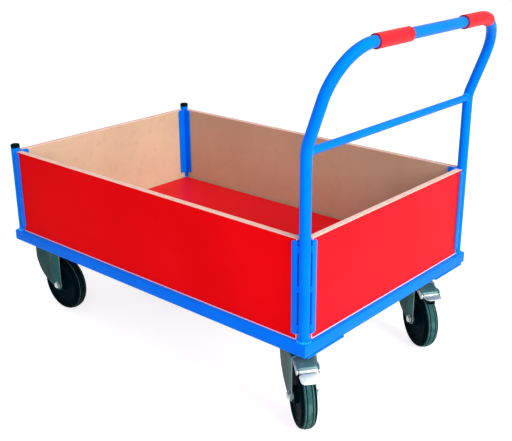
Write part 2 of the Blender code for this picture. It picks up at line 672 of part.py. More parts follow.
def plate_and_bolts(bm_bolts):
    """A caster's flat top plate. The heads and shanks of its four bolts go into bm_bolts."""
    plate = bmesh.new()
    outline = rounded_rectangle(TOP_PLATE_LENGTH, TOP_PLATE_WIDTH, TOP_PLATE_ROUND)
    prism(plate, outline, -TOP_PLATE_THICKNESS, 0)
    for centre in bolt_places():
        rod(bm_bolts, BOLT_DIAMETER / 2 * 0.94, -TOP_PLATE_THICKNESS / 2, MOUNT_THICKNESS, centre, sides=8)
    return plate


def bolt_heads():
    heads = bmesh.new()
    low = -TOP_PLATE_THICKNESS - BOLT_HEAD_HEIGHT
    for centre in bolt_places():
        hexagon(heads, BOLT_HEAD_ACROSS, low, -TOP_PLATE_THICKNESS * 0.6, centre)
    return heads


def add_fixed_caster(side, sy, zinc, steel, black, rubber):
    bolts = bmesh.new()
    plate = plate_and_bolts(bolts)
    name = f"fixed_fork_{side}"
    channel, outline = fork_channel(FIXED_TRAIL, -TOP_PLATE_THICKNESS / 3)
    fork = add_object(name, channel, zinc, caster_centre(-1, sy))
    steps = [("INTERSECT", outline), ("UNION", plate), ("UNION", bolts), ("UNION", bolt_heads())]
    shape_with(fork, steps + [("DIFFERENCE", axle_hole(FIXED_TRAIL))])
    add_wheel(f"fixed_{side}", fork, FIXED_TRAIL, steel, black, rubber)


def add_swivel_caster(side, sy, turn, brake_on, zinc, steel, black, rubber):
    """Top plate with its kingpin and bolts, then the fork that turns under it with wheel and brake."""
    bolts = bmesh.new()
    plate_mesh = plate_and_bolts(bolts)
    plate = add_object(f"swivel_plate_{side}", plate_mesh, zinc, caster_centre(1, sy))
    race, pin, head = bmesh.new(), bmesh.new(), bmesh.new()
    race_low = -RACE_UPPER_DEPTH
    crown = CROWN_HEIGHT - CASTER_HEIGHT
    rod(race, RACE_DIAMETER / 2, race_low, -TOP_PLATE_THICKNESS / 2, sides=18)
    rod(pin, KINGPIN_DIAMETER / 2, crown - FORK_SHEET - 2 * SEAT_GAP, race_low + 0.002, sides=PIN_SIDES)
    head_top = crown - FORK_SHEET - SEAT_GAP
    rod(head, KINGPIN_HEAD / 2, head_top - KINGPIN_HEAD_HEIGHT, head_top, sides=PIN_SIDES, first_angle=0.1)
    steps = [("UNION", bolts), ("UNION", bolt_heads()), ("UNION", race), ("UNION", pin), ("UNION", head)]
    shape_with(plate, steps)

    ring = bmesh.new()
    low = race_low - SEAT_GAP - RACE_BALL_DEPTH
    inner, outer = KINGPIN_DIAMETER / 2 + 0.008, RACE_DIAMETER / 2 - 0.002
    swell = RACE_BALL_DEPTH / 2
    profile = [(inner, low), (outer, low), (outer + 0.001, low + swell), (outer, low + 2 * swell)]
    revolve(ring, profile + [(inner, low + 2 * swell)], 18)
    add_object(f"swivel_race_{side}", ring, steel, (0, 0, 0), plate)

    channel, outline = fork_channel(SWIVEL_TRAIL, crown)
    fork = add_object(f"swivel_fork_{side}", channel, zinc, (0, 0, 0), plate, turn)
    dish = bmesh.new()
    rod(dish, RACE_DIAMETER / 2, crown - FORK_SHEET / 2, low - SEAT_GAP, sides=18)
    bore = bmesh.new()
    radius = round_of(KINGPIN_DIAMETER / 2 + HOLE_CLEARANCE, PIN_SIDES)
    rod(bore, radius, crown - 0.02, low + 0.02, sides=PIN_SIDES)
    hood, lugs, pin = brake_carrier(crown)
    steps = [("INTERSECT", outline), ("UNION", dish), ("UNION", hood), ("UNION", lugs), ("UNION", pin)]
    shape_with(fork, steps + [("DIFFERENCE", bore), ("DIFFERENCE", axle_hole(SWIVEL_TRAIL))])
    add_wheel(f"swivel_{side}", fork, SWIVEL_TRAIL, steel, black, rubber)
    add_brake(side, fork, brake_on, steel, rubber)


def drawn_sheet(bm, line, half, corner, cheek, thickness):
    """An inverted channel with rounded corners, drawn along a line of (ahead, up) points."""
    outer = [(half, -cheek)] + arc((half - corner, -corner), corner, 0, math.pi / 2, 3)
    outer += [(-y, z) for y, z in reversed(outer)]
    inner_corner, inner_half = corner - thickness, half - thickness
    inner = [(inner_half, -cheek)] + arc((half - corner, -corner), inner_corner, 0, math.pi / 2, 3)
    inner += [(-y, z) for y, z in reversed(inner)]
    rings = []
    for i, point in enumerate(line):
        ahead = (line[min(i + 1, len(line) - 1)] - line[max(i - 1, 0)]).normalized()
        section = outer + inner[::-1]
        rings.append([Vector((point.x - ahead.y * z, y, point.y + ahead.x * z)) for y, z in section])
    rows = skin(bm, rings)
    for row in (rows[0], rows[-1]):
        middle = len(row) // 2
        for k in range(middle - 1):
            bm.faces.new((row[k], row[k + 1], row[-2 - k], row[-1 - k]))


def brake_carrier(crown):
    """The hood that runs down ahead of the crown, the two lugs at its end and the hinge pin."""
    px, pz = SWIVEL_TRAIL + PIVOT_AHEAD, AXLE_DROP + PIVOT_ABOVE
    front = SWIVEL_TRAIL + LEG_AHEAD
    level = crown - (FORK_SHEET - HOOD_THICKNESS) / 2
    brow = Vector((px - 0.003, pz + LUG_RADIUS + 0.003))
    line = [Vector((front - 0.010, level)), Vector((front + 0.004, level))]
    line += [line[-1].lerp(brow, 0.5) + Vector((0.003, 0.004)), brow]
    hood = bmesh.new()
    drawn_sheet(hood, line, HOOD_WIDTH / 2, HOOD_CORNER, HOOD_CHEEK, HOOD_THICKNESS)
    lugs = bmesh.new()
    cheek = arc((px, pz), LUG_RADIUS, math.radians(50), math.radians(-150), 7)
    cheek += [(px - 0.016, pz + 0.004), (px - 0.014, pz + 0.012), (px, pz + LUG_RADIUS + 0.0005)]
    for sign in (-1, 1):
        outer = sign * LUG_SPREAD / 2
        prism(lugs, cheek, outer - sign * LUG_THICKNESS, outer, AXIS_Y)
    pin = bmesh.new()
    end = LUG_SPREAD / 2 - LUG_THICKNESS / 2
    rod(pin, PIVOT_PIN / 2, -end, end, (px, pz), AXIS_Y, sides=10)
    return hood, lugs, pin


def add_wheel(name, fork, trail, steel, black, rubber):
    """Wheel centre, roller bearing, tyre, axle bolt and nut in a fork. The Y axis is the axle."""
    axle = (trail, 0, AXLE_DROP)
    flat_down = math.pi / WHEEL_FACETS
    half_seat, half_hub, half_web = TYRE_SEAT_WIDTH / 2, HUB_WIDTH / 2, WEB_THICKNESS / 2
    seat, hub, bore = TYRE_BORE / 2 - SEAT_GAP, HUB_DIAMETER / 2, BEARING_DIAMETER / 2 + SEAT_GAP
    step = RIM_FLANGE
    half_profile = [
        (bore, half_hub),
        (hub, half_hub),
        (hub + 0.004, half_web),
        (seat - step - 0.003, half_web),
        (seat - step, half_seat),
        (seat, half_seat),
    ]
    rim = bmesh.new()
    profile = half_profile + [(radius, -height) for radius, height in reversed(half_profile)]
    revolve(rim, profile, WHEEL_FACETS, AXIS_Y, flat_down)
    rim_object = add_object(f"wheel_rim_{name}", rim, black, axle, fork)

    # Flats of the faceted tread lie at the nominal radius, one of them on the floor.
    tyre = bmesh.new()
    revolve(tyre, tyre_profile(1 / math.cos(flat_down)), WHEEL_FACETS, AXIS_Y, flat_down)
    add_object(f"tyre_{name}", tyre, rubber, (0, 0, 0), rim_object)

    sleeve = bmesh.new()
    inner, outer = round_of(AXLE_DIAMETER / 2 + HOLE_CLEARANCE, PIN_SIDES), BEARING_DIAMETER / 2
    half = HUB_WIDTH / 2 + 0.002
    revolve(sleeve, [(inner, -half), (outer, -half), (outer, half), (inner, half)], 12, AXIS_Y)
    add_object(f"wheel_bearing_{name}", sleeve, steel, (0, 0, 0), rim_object)

    bolt = bmesh.new()
    inside = FORK_WIDTH / 2 + SEAT_GAP
    end = inside + AXLE_HEAD_HEIGHT + 0.004
    rod(bolt, AXLE_DIAMETER / 2, -inside - 0.002, end, axis=AXIS_Y, sides=PIN_SIDES)
    head = bmesh.new()
    hexagon(head, AXLE_HEAD_ACROSS, -inside - AXLE_HEAD_HEIGHT, -inside, axis=AXIS_Y)
    shape_with(add_object(f"axle_bolt_{name}", bolt, steel, axle, fork), [("UNION", head)])

    nut = bmesh.new()
    hexagon(nut, AXLE_HEAD_ACROSS, inside, inside + AXLE_HEAD_HEIGHT, axis=AXIS_Y)
    hole = bmesh.new()
    radius = round_of(AXLE_DIAMETER / 2 + SEAT_GAP, PIN_SIDES)
    rod(hole, radius, 0, end, axis=AXIS_Y, sides=PIN_SIDES)
    shape_with(add_object(f"axle_nut_{name}", nut, steel, axle, fork), [("DIFFERENCE", hole)])


def tyre_profile(stretch):
    """Closed section of the tyre: bead, bulged side and a rounded crown with two grooves."""
    widest, half = TYRE_WIDEST, WHEEL_WIDTH / 2
    rise = WHEEL_RADIUS * stretch - widest

    def crown_radius(y):
        return widest + rise * (1 - abs(y / half) ** CROWN_POWER) ** (1 / CROWN_POWER)

    crown = []
    for y in GROOVE_OFFSETS:
        edges = [y - GROOVE_WIDTH / 2, y + GROOVE_WIDTH / 2]
        crown.append((crown_radius(edges[0]), edges[0]))
        crown.append((crown_radius(y) - GROOVE_DEPTH, y))
        crown.append((crown_radius(edges[1]), edges[1]))
    side = [(TYRE_BORE / 2, TYRE_SEAT_WIDTH / 2), (widest, half)]
    side += [(crown_radius(share * half), share * half) for share in (0.90, 0.68)]
    return [(radius, -y) for radius, y in side] + crown + list(reversed(side))


def add_brake(side, fork, brake_on, steel, rubber):
    """The foot pedal on its hinge pin and the shoe under it. Its origin is on the hinge axis."""
    pivot = (SWIVEL_TRAIL + PIVOT_AHEAD, 0, AXLE_DROP + PIVOT_ABOVE)
    half = min(LUG_SPREAD / 2 - LUG_THICKNESS, HOOD_WIDTH / 2 - HOOD_THICKNESS) - SEAT_GAP
    barrel = bmesh.new()
    rod(barrel, BARREL_DIAMETER / 2, -half, half, axis=AXIS_Y, sides=PIN_SIDES)
    pedal = add_object(f"brake_pedal_{side}", barrel, steel, pivot, fork)
    down = Matrix.Rotation(PEDAL_SLOPE, 3, "Y")

    pad = bmesh.new()
    neck, wide, tip, reach = PEDAL_NECK / 2, PEDAL_WIDTH / 2, PEDAL_TIP / 2, PEDAL_LENGTH
    outline = [(0.0, neck), (PEDAL_SWELL[0], neck), (PEDAL_SWELL[1], wide)]
    outline += arc((reach - PEDAL_ROUND, tip - PEDAL_ROUND), PEDAL_ROUND, math.pi / 2, 0, 3)
    outline += [(x, -y) for x, y in reversed(outline)]
    prism(pad, outline, -PEDAL_SHEET / 2, PEDAL_SHEET / 2)
    bmesh.ops.transform(pad, matrix=down.to_4x4(), verts=pad.verts)
    hole = bmesh.new()
    rod(hole, PIVOT_PIN / 2 + HOLE_CLEARANCE, -2 * half, 2 * half, axis=AXIS_Y, sides=10)
    shape_with(pedal, [("UNION", pad), ("DIFFERENCE", hole)])

    # The shoe is a block bonded under the pad, hollowed to the tyre's curve.
    inner = WHEEL_RADIUS / math.cos(math.pi / WHEEL_FACETS) + SHOE_CLEARANCE
    arc_points = arc((0, 0), inner, SHOE_ANGLE + SHOE_ARC / 2, SHOE_ANGLE - SHOE_ARC / 2, 3)
    under = down @ Vector((0, 0, -PEDAL_SHEET / 2 - SEAT_GAP))
    normal = down @ AXIS_Z
    back = []
    for x, z in (arc_points[-1], arc_points[0]):
        radial = Vector((x, 0, z)).normalized()
        start = Vector((x - PIVOT_AHEAD, 0, z - PIVOT_ABOVE))
        lift = (under - start).dot(normal) / radial.dot(normal)
        point = start + radial * lift
        back.append((point.x, point.z))
    outline = [(x - PIVOT_AHEAD, z - PIVOT_ABOVE) for x, z in arc_points] + back
    shoe = bmesh.new()
    prism(shoe, outline, -SHOE_WIDTH / 2, SHOE_WIDTH / 2, AXIS_Y)
    add_object(f"brake_shoe_{side}", shoe, rubber, (0, 0, 0), pedal)
    pedal.rotation_euler.y = 0.0 if brake_on else -PEDAL_TRAVEL


def build():
    clear_scene()
    paint = finish("blue powder coat", (0.003, 0.135, 0.80), 0.35)
    laminate = finish("red laminate", (0.70, 0.010, 0.018), 0.35)
    raw = finish("raw board", (0.58, 0.33, 0.19), 0.75)
    grip = finish("red grip vinyl", (0.72, 0.012, 0.020), 0.45)
    black = finish("black plastic", (0.012, 0.013, 0.014), 0.45)
    rubber = finish("black rubber", (0.016, 0.020, 0.021), 0.62)
    zinc = finish("zinc plate", (0.36, 0.40, 0.38), 0.33, 1.0)
    bright = finish("bright zinc", (0.66, 0.67, 0.66), 0.25, 1.0)
    add_chassis(paint)
    add_uprights(paint, black)
    add_guide_angles(paint)
    add_handle(paint, grip)
    add_boards(laminate, raw)
    for side, sy, turn, brake_on in zip(("near", "far"), (-1, 1), SWIVEL_ANGLES, BRAKES_ON):
        add_fixed_caster(side, sy, zinc, bright, black, rubber)
        add_swivel_caster(side, sy, turn, brake_on, zinc, bright, black, rubber)
    bpy.context.view_layer.update()


build()
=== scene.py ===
# %% [markdown]
# # A platform cart with board sides
# This lesson dresses a platform cart: a welded chassis of blue square tube, a bent tube push handle,
# red laminated boards, and four casters. The measured solids come in as a frame that already moves at
# its joints. Each cell then lays a smooth surface over one of its pieces, or gives it a finish.

# %% Load the measured frame
import json
import math

import bmesh
import bpy
import numpy as np
from mathutils import Matrix, Vector


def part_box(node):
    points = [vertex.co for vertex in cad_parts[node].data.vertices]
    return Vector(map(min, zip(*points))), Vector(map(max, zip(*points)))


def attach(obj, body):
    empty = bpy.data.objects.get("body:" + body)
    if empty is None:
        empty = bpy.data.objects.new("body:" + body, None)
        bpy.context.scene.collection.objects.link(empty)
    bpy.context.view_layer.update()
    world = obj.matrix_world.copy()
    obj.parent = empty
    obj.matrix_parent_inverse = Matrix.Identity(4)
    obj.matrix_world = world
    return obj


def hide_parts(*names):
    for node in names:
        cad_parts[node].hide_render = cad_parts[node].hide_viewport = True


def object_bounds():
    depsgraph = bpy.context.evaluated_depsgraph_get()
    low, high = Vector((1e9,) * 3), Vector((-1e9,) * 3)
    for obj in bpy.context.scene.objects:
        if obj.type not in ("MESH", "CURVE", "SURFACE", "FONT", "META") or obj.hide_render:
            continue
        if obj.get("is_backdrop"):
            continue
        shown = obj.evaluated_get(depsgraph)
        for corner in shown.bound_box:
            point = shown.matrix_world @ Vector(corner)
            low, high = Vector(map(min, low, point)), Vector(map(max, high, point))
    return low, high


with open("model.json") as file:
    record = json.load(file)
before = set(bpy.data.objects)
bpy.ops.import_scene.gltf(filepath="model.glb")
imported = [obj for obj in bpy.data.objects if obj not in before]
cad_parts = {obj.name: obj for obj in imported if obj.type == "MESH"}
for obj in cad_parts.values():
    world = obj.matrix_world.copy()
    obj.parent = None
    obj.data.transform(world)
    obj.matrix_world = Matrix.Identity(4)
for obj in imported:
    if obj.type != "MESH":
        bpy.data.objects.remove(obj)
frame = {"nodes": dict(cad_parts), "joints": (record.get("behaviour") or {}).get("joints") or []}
frame_low, frame_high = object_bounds()
size_lines = [[round(value, 5) for value in corner] for corner in (frame_low, frame_high)]
print("measured box in metres:", size_lines)

# %% [markdown]
# ## Where things are
# Nothing is placed by eye. The frame says where each piece sits, so the rails, boards and wheels are
# read from it, and only sizes that a box can't show, such as a tube's diameter, are written here.

# %% Read the places of the main pieces
X, Y, Z = np.eye(3)
CAP_RISE = 0.010


def box_of(node):
    """Lowest and highest corner of a measured piece."""
    low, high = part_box(node)
    return np.array(low), np.array(high)


def middle_of(node):
    """The point half way between a measured piece's lowest and highest corner."""
    low, high = box_of(node)
    return (low + high) / 2


chassis_low = np.minimum(box_of("side_rail_near")[0], box_of("side_rail_far")[0])
chassis_high = np.maximum(box_of("side_rail_near")[1], box_of("side_rail_far")[1])
rail_size = chassis_high[2] - chassis_low[2]
frame_top = chassis_high[2]
side_top = box_of("side_board_near")[1][2]
post_at = middle_of("post_cap_near")
post_top = box_of("post_cap_near")[1][2] - CAP_RISE
leg_x = middle_of("handle_crossbar")[0]
upright_y = abs(post_at[1])
joint_at = {joint["name"]: joint for joint in frame["joints"]}
print("chassis:", chassis_high - chassis_low)
print(f"uprights at x {post_at[0]:.4f} and {leg_x:.4f}, y {upright_y:.4f}")

# %% [markdown]
# ## Surfaces from grids
# Every new piece is a grid of points worked out by numpy, with one row for each step along a shape
# and one column for each step round it. Neighbouring rows and columns make the quads. A row that
# shrinks to one point closes an end, and the points that then coincide are merged. Primitives and
# modifiers could be stacked instead, but a grid keeps a shape in one formula, and any of its rows can
# have a finish of its own.

# %% Faces of a grid
def quads_of(rows, columns, round_rows, round_columns):
    """Corners (i, j), (i, j+1), (i+1, j+1), (i+1, j) of each cell, counted round where the grid wraps."""
    i, j = np.meshgrid(
        np.arange(rows if round_rows else rows - 1),
        np.arange(columns if round_columns else columns - 1),
        indexing="ij",
    )
    below, beside = (i + 1) % rows, (j + 1) % columns
    corners = [i * columns + j, i * columns + beside, below * columns + beside, below * columns + j]
    return np.stack(corners, axis=-1).reshape(-1, 4)


print("faces of a tube of 3 rings with 4 points each:", len(quads_of(3, 4, False, True)))

# %% Grids into one mesh
MERGE = 3e-6


def mesh_of(name, grids, rows_wrap, open_sheet, mark):
    """One mesh of grids, which wrap along their columns unless the piece is an open sheet. A grid can
    come with the number of its finish. A mark is a number for each point of the grids, in their order."""
    points, quads, slots, count = [], [], [], 0
    for grid in grids:
        grid, number = grid if isinstance(grid, tuple) else (grid, 0)
        rows, columns = grid.shape[:2]
        faces = quads_of(rows, columns, rows_wrap, not open_sheet) + count
        points.append(grid.reshape(-1, 3))
        quads.append(faces)
        slots.append(np.full(len(faces), number))
        count += rows * columns
    mesh = bpy.data.meshes.new(name)
    mesh.from_pydata(np.concatenate(points).tolist(), [], np.concatenate(quads).tolist())
    mesh.polygons.foreach_set("material_index", np.concatenate(slots).astype(np.int32))
    if mark is not None:
        mesh.attributes.new("mark", "FLOAT", "POINT").data.foreach_set("value", mark.ravel().astype(np.float32))
    shell = bmesh.new()
    shell.from_mesh(mesh)
    bmesh.ops.remove_doubles(shell, verts=shell.verts, dist=MERGE)
    bmesh.ops.recalc_face_normals(shell, faces=shell.faces)
    shell.to_mesh(mesh)
    shell.free()
    return mesh


print(f"points nearer to each other than {MERGE * 1e6:.0f} micrometres are merged")


# %% A piece of the frame
def add_piece(
    name, grids, finish, body, stands_for=(),
    sharp=34, wall=0.0, rows_wrap=False, open_sheet=False, mark=None,
):
    """Makes one object from grids, gives it its finishes and a wall, and lets it ride on a body."""
    finishes = finish if isinstance(finish, (list, tuple)) else [finish]
    mesh = mesh_of(name, grids, rows_wrap, open_sheet, mark)
    mesh.shade_smooth()
    mesh.set_sharp_from_angle(angle=math.radians(sharp))
    for one in finishes:
        mesh.materials.append(one)
    piece = bpy.data.objects.new(name, mesh)
    bpy.context.scene.collection.objects.link(piece)
    if wall:
        sheet = piece.modifiers.new("sheet", "SOLIDIFY")
        sheet.thickness, sheet.offset, sheet.use_even_offset = wall, 0.0, True
        sheet.material_offset_rim = len(finishes) - 1
    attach(piece, body)
    if stands_for:
        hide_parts(*stands_for)
    print(f"{name}: {len(mesh.polygons)} faces")


# %% [markdown]
# ## Shader maths that reads like maths
# A finish is a small network of nodes. Wrapping a socket lets an expression such as 1 - mask add its
# own nodes, so a recipe reads in the order in which it is thought of. Values only ever change the
# colour, roughness or bump, which are the parts of a finish that can be baked.

# %% Sockets with arithmetic
class Wire:
    """An output socket. Each operator adds a Math node and gives its result."""

    def __init__(self, recipe, socket):
        self.recipe, self.socket = recipe, socket

    def maths(self, operation, *values):
        """A Math node with its operation and the numbers or wires that it works on."""
        return self.recipe.node("ShaderNodeMath", {"operation": operation}, *values)

    def __add__(self, other):
        return self.maths("ADD", self, other)

    def __sub__(self, other):
        return self.maths("SUBTRACT", self, other)

    def __rsub__(self, other):
        return self.maths("SUBTRACT", other, self)

    def __mul__(self, other):
        return self.maths("MULTIPLY", self, other)

    def __abs__(self):
        return self.maths("ABSOLUTE", self)

    __radd__, __rmul__ = __add__, __mul__

    def fade(self, low, high):
        """0 below low, 1 above high, and a smooth step between."""
        return self.recipe.node("ShaderNodeMapRange", {"interpolation_type": "SMOOTHSTEP"}, self, low, high)


print("a wire can:", [name.strip("_") for name, value in vars(Wire).items() if callable(value)])


# %% A recipe of nodes
class Recipe:
    """A tree of nodes, and the one way to add a node to it."""

    def __init__(self, tree):
        self.tree = tree

    def feed(self, socket, value):
        """Links a wire to an input socket, or writes a value there, a colour with full alpha."""
        if isinstance(value, Wire):
            self.tree.links.new(value.socket, socket)
        elif isinstance(value, tuple) and len(value) == 3 and socket.type == "RGBA":
            socket.default_value = (*value, 1.0)
        else:
            socket.default_value = value

    def node(self, kind, settings, *values, at=None, out=0, **named):
        """A node of one kind: its settings, then what its first sockets get, or the sockets whose
        numbers are in at, then what others get by name. It gives the output named or numbered by out."""
        made = self.tree.nodes.new(kind)
        for key, value in settings.items():
            setattr(made, key, value)
        sockets = made.inputs if at is None else [made.inputs[number] for number in at]
        for socket, value in zip(sockets, values):
            self.feed(socket, value)
        for key, value in named.items():
            self.feed(made.inputs[key.replace("_", " ")], value)
        return Wire(self, made.outputs[out])

    def mix(self, share, low, high):
        """low where share is 0, high where it is 1, as colours."""
        return self.node("ShaderNodeMix", {"data_type": "RGBA"}, share, low, high, at=(0, 6, 7), out=2)


print("a recipe can:", [name.strip("_") for name, value in vars(Recipe).items() if callable(value)])


# %% A finish
class Finish(Recipe):
    """A material with one Principled shader, whose patterns follow the place on the object."""

    def __init__(self, name, roughness=0.5, metallic=0.0, shine=0.5, tint=(1, 1, 1)):
        self.material = bpy.data.materials.new(name)
        self.material.use_nodes = True
        super().__init__(self.material.node_tree)
        self.shader = self.tree.nodes["Principled BSDF"]
        self.set(Metallic=metallic, Specular_IOR_Level=shine, Specular_Tint=tint, Roughness=roughness)
        self.place = self.node("ShaderNodeTexCoord", {}, out="Object")

    def noise(self, scale, detail, rough=0.5, stretch=(1, 1, 1)):
        """Smooth noise from 0 to 1 at so many waves a metre, stretched along the axes."""
        at = self.node("ShaderNodeMapping", {}, Vector=self.place, Scale=stretch)
        return self.node("ShaderNodeTexNoise", {}, Vector=at, Scale=scale, Detail=detail, Roughness=rough)

    def axis(self, name):
        """One coordinate of the place on the object."""
        return self.node("ShaderNodeSeparateXYZ", {}, self.place, out=name)

    def bump(self, height, strength, distance):
        """Presses a pattern of heights into the surface."""
        made = self.node("ShaderNodeBump", {}, Height=height, Strength=strength, Distance=distance)
        self.feed(self.shader.inputs["Normal"], made)

    def set(self, **values):
        """Feeds inputs of the shader by name and gives the material."""
        for key, value in values.items():
            self.feed(self.shader.inputs[key.replace("_", " ")], value)
        return self.material


print("a finish can:", [name.strip("_") for name, value in vars(Finish).items() if callable(value)])

# %% [markdown]
# ## The blue powder coat
# Powder is baked on as a thick, glossy skin. It shows a faint orange peel under a highlight, and its
# colour is even, so the recipe is a fine low bump, a little change of gloss and a tinted shine. A clear
# coat could carry the gloss, but powder is colour and skin in one film, so one layer is truer. Over a
# weld the same recipe runs with a higher shine and small strong spots, whose light blue is painted highlight.

# %% Powder coat
def powder_coat(name, shine, spots, dark, light):
    """Colour and gloss drift together in clouds, so many to a metre, over a fine peel."""
    coat = Finish(name, shine=shine, tint=(0.06, 0.45, 1.0))
    cloud = coat.noise(spots, 2.0)
    peel = coat.noise(750.0, 2.0)
    coat.bump(peel, 0.10, 0.0002)
    blue = coat.mix(cloud.fade(0.35, 0.65), dark, light)
    return coat.set(Base_Color=blue, Roughness=0.27 + cloud * 0.08)


powder = powder_coat("blue powder coat", 0.05, 9.0, (0.0, 0.174, 0.92), (0.0, 0.194, 0.97))
# The weld's light blue spots are painted highlight on the bead.
weld_coat_with_painted_highlights = powder_coat("blue coat on a weld with painted highlights", 0.6, 110.0, (0.0, 0.15, 0.85), (0.01, 0.44, 1.0))
print("coats:", powder.name, "and", weld_coat_with_painted_highlights.name)

# %% [markdown]
# ## The boards
# A board is fibreboard with a red laminate on its show face. The laminate is smooth and slightly
# cloudy. The raw side is mottled tan with darker fibres, and the sawn edge is paler and drier. The long
# boards get a deeper red and a darker raw side, which are painted shade, and the end boards and deck
# get a lighter red, which is painted light. Pictures of boards could be used, but noise at three scales
# gives the same look at any size and never repeats.

# %% Laminate
def red_laminate(name, dark, light, shine):
    """Colour and gloss drift together in clouds 20 cm wide, over a very fine grain."""
    skin = Finish(name, shine=shine)
    cloud = skin.noise(5.0, 3.0)
    speck = skin.noise(420.0, 2.0)
    red = skin.mix(cloud.fade(0.3, 0.7), dark, light)
    skin.bump(speck, 0.06, 0.0002)
    return skin.set(Base_Color=red, Roughness=0.30 + cloud * 0.10)


# Two copies of one laminate: the deeper is painted shade for the long boards, the lighter painted light for the
# end boards and deck.
shaded_red_laminate = red_laminate("red laminate with painted shade", (0.84, 0.0012, 0.0035), (0.91, 0.0020, 0.0055), 0.012)
lit_red_laminate = red_laminate("red laminate with painted light", (0.90, 0.0055, 0.0130), (0.96, 0.0080, 0.0180), 0.04)
print("laminates:", shaded_red_laminate.name, "and", lit_red_laminate.name)


# %% Raw face
def raw_fibreboard(name, dark, light):
    """Wide clouds of two tans, darkened first by a mottle and then by fibres, which also stand out."""
    face = Finish(name, shine=0.1)
    cloud, mottle = face.noise(4.5, 3.0), face.noise(38.0, 4.0, 0.6)
    fibre = face.noise(420.0, 4.0, 0.7)
    tan = face.mix(cloud.fade(0.3, 0.7), dark, light)
    tan = face.mix(mottle.fade(0.50, 0.76) * 0.30, tan, (0.46, 0.33, 0.225))
    tan = face.mix(fibre.fade(0.56, 0.80) * 0.40, tan, (0.42, 0.29, 0.19))
    face.bump(fibre, 0.25, 0.0003)
    return face.set(Base_Color=tan, Roughness=0.74 + mottle * 0.12)


warm_raw = raw_fibreboard("raw fibreboard", (0.68, 0.478, 0.325), (0.74, 0.533, 0.362))
# The darker copy of the raw face is painted shade for the long boards.
shaded_raw_fibreboard = raw_fibreboard("darker raw fibreboard", (0.545, 0.398, 0.250), (0.605, 0.446, 0.280))
print("raw faces:", warm_raw.name, "and", shaded_raw_fibreboard.name)


# %% Sawn edge and core
def sawn_edge():
    """Bands of two pale shades, darkened by fibres, which also stand out."""
    edge = Finish("sawn edge", shine=0.1)
    fibre, band = edge.noise(900.0, 3.0, 0.6), edge.noise(60.0, 2.0)
    pale = edge.mix(band.fade(0.3, 0.7), (0.95, 0.58, 0.48), (0.99, 0.68, 0.58))
    pale = edge.mix(fibre.fade(0.55, 0.8) * 0.35, pale, (0.60, 0.38, 0.28))
    edge.bump(fibre, 0.3, 0.0003)
    return edge.set(Base_Color=pale, Roughness=0.80 + band * 0.1)


def pale_core_with_painted_reflection():
    """Narrow bands of two pale shades, tinted lilac as a painted reflection of the blue rail below."""
    core = Finish("pale laminate core with painted blue reflection", shine=0.1)
    band = core.noise(80.0, 2.0)
    # The lilac in these pale shades is a painted reflection of the blue rail.
    pale = core.mix(band, (0.80, 0.58, 0.74), (0.90, 0.68, 0.84))
    return core.set(Base_Color=pale, Roughness=0.6 + band * 0.1)


edge_face, core_with_painted_reflection = sawn_edge(), pale_core_with_painted_reflection()
print("edges:", edge_face.name, "and", core_with_painted_reflection.name)

# %% [markdown]
# ## Rubber and plastic
# The tyres are matt black rubber, and the wheel centres and post caps are moulded plastic. The
# tread's grooves are cut in the mesh. Its colour is dust mixed with a painted sheen, painted highlight
# on the ribs, painted shade in the grooves and on the shoulders, and a thin painted highlight just
# outside each groove. So each point carries a mark, its distance from the tyre's middle line, and the
# finish reads that in place of a painted picture.

# %% Rubber and plastic
def tyre_rubber():
    """Near black, a little lighter and rougher where dust lies."""
    rubber = Finish("tyre rubber", shine=0.006, tint=(0.1, 0.8, 1.0))
    dust, grain = rubber.noise(28.0, 4.0, 0.6), rubber.noise(600.0, 3.0)
    dark = rubber.mix(dust.fade(0.45, 0.75) * 0.5, (0.0, 0.0042, 0.0058), (0.0014, 0.0110, 0.0135))
    rubber.bump(grain, 0.15, 0.0002)
    return rubber.set(Base_Color=dark, Roughness=0.42 + dust * 0.2)


def moulded_plastic():
    """Near black in soft clouds, over a fine grain."""
    plastic = Finish("moulded black plastic", shine=0.006, tint=(0.1, 0.8, 1.0))
    grain, cloud = plastic.noise(700.0, 2.0), plastic.noise(20.0, 2.0)
    black = plastic.mix(cloud, (0.0, 0.0058, 0.0078), (0.0006, 0.0100, 0.0130))
    plastic.bump(grain, 0.12, 0.0002)
    return plastic.set(Base_Color=black, Roughness=0.38 + cloud * 0.12)


rubber, plastic = tyre_rubber(), moulded_plastic()
print("blacks:", rubber.name, "and", plastic.name)


# %% Tread
def tread_with_painted_light(name, dark, light, ridge_highlight):
    """Dust on a grey tread, painted highlight on the ribs and painted shade in the grooves and on the
    shoulders, by the mark, and a thin painted highlight just outside each groove.
    """
    tread = Finish(name, shine=0.05, tint=(0.3, 0.9, 1.0))
    dust, grain = tread.noise(45.0, 4.0, 0.6), tread.noise(800.0, 3.0)
    aside = abs(tread.node("ShaderNodeAttribute", {"attribute_name": "mark"}, out="Fac"))
    groove = aside.fade(0.0046, 0.0058) * (1 - aside.fade(0.0072, 0.0084))
    # Lighter ribs are painted highlight; darker grooves and shoulders are painted shade.
    rib = (1 - groove * 0.8) * (1 - aside.fade(0.0100, 0.0128))
    grey = tread.mix(dust.fade(0.40, 0.70), dark, light)
    grey = tread.mix(rib, (0.0, 0.0055, 0.0070), grey)
    # A thin line just outside each groove is a painted highlight.
    line = aside.fade(0.0082, 0.0088) * (1 - aside.fade(0.0092, 0.0098))
    grey = tread.mix(line * ridge_highlight, grey, (0.11, 0.19, 0.175))
    tread.bump(grain, 0.25, 0.0002)
    return tread.set(Base_Color=grey, Roughness=0.48 + dust * 0.2)


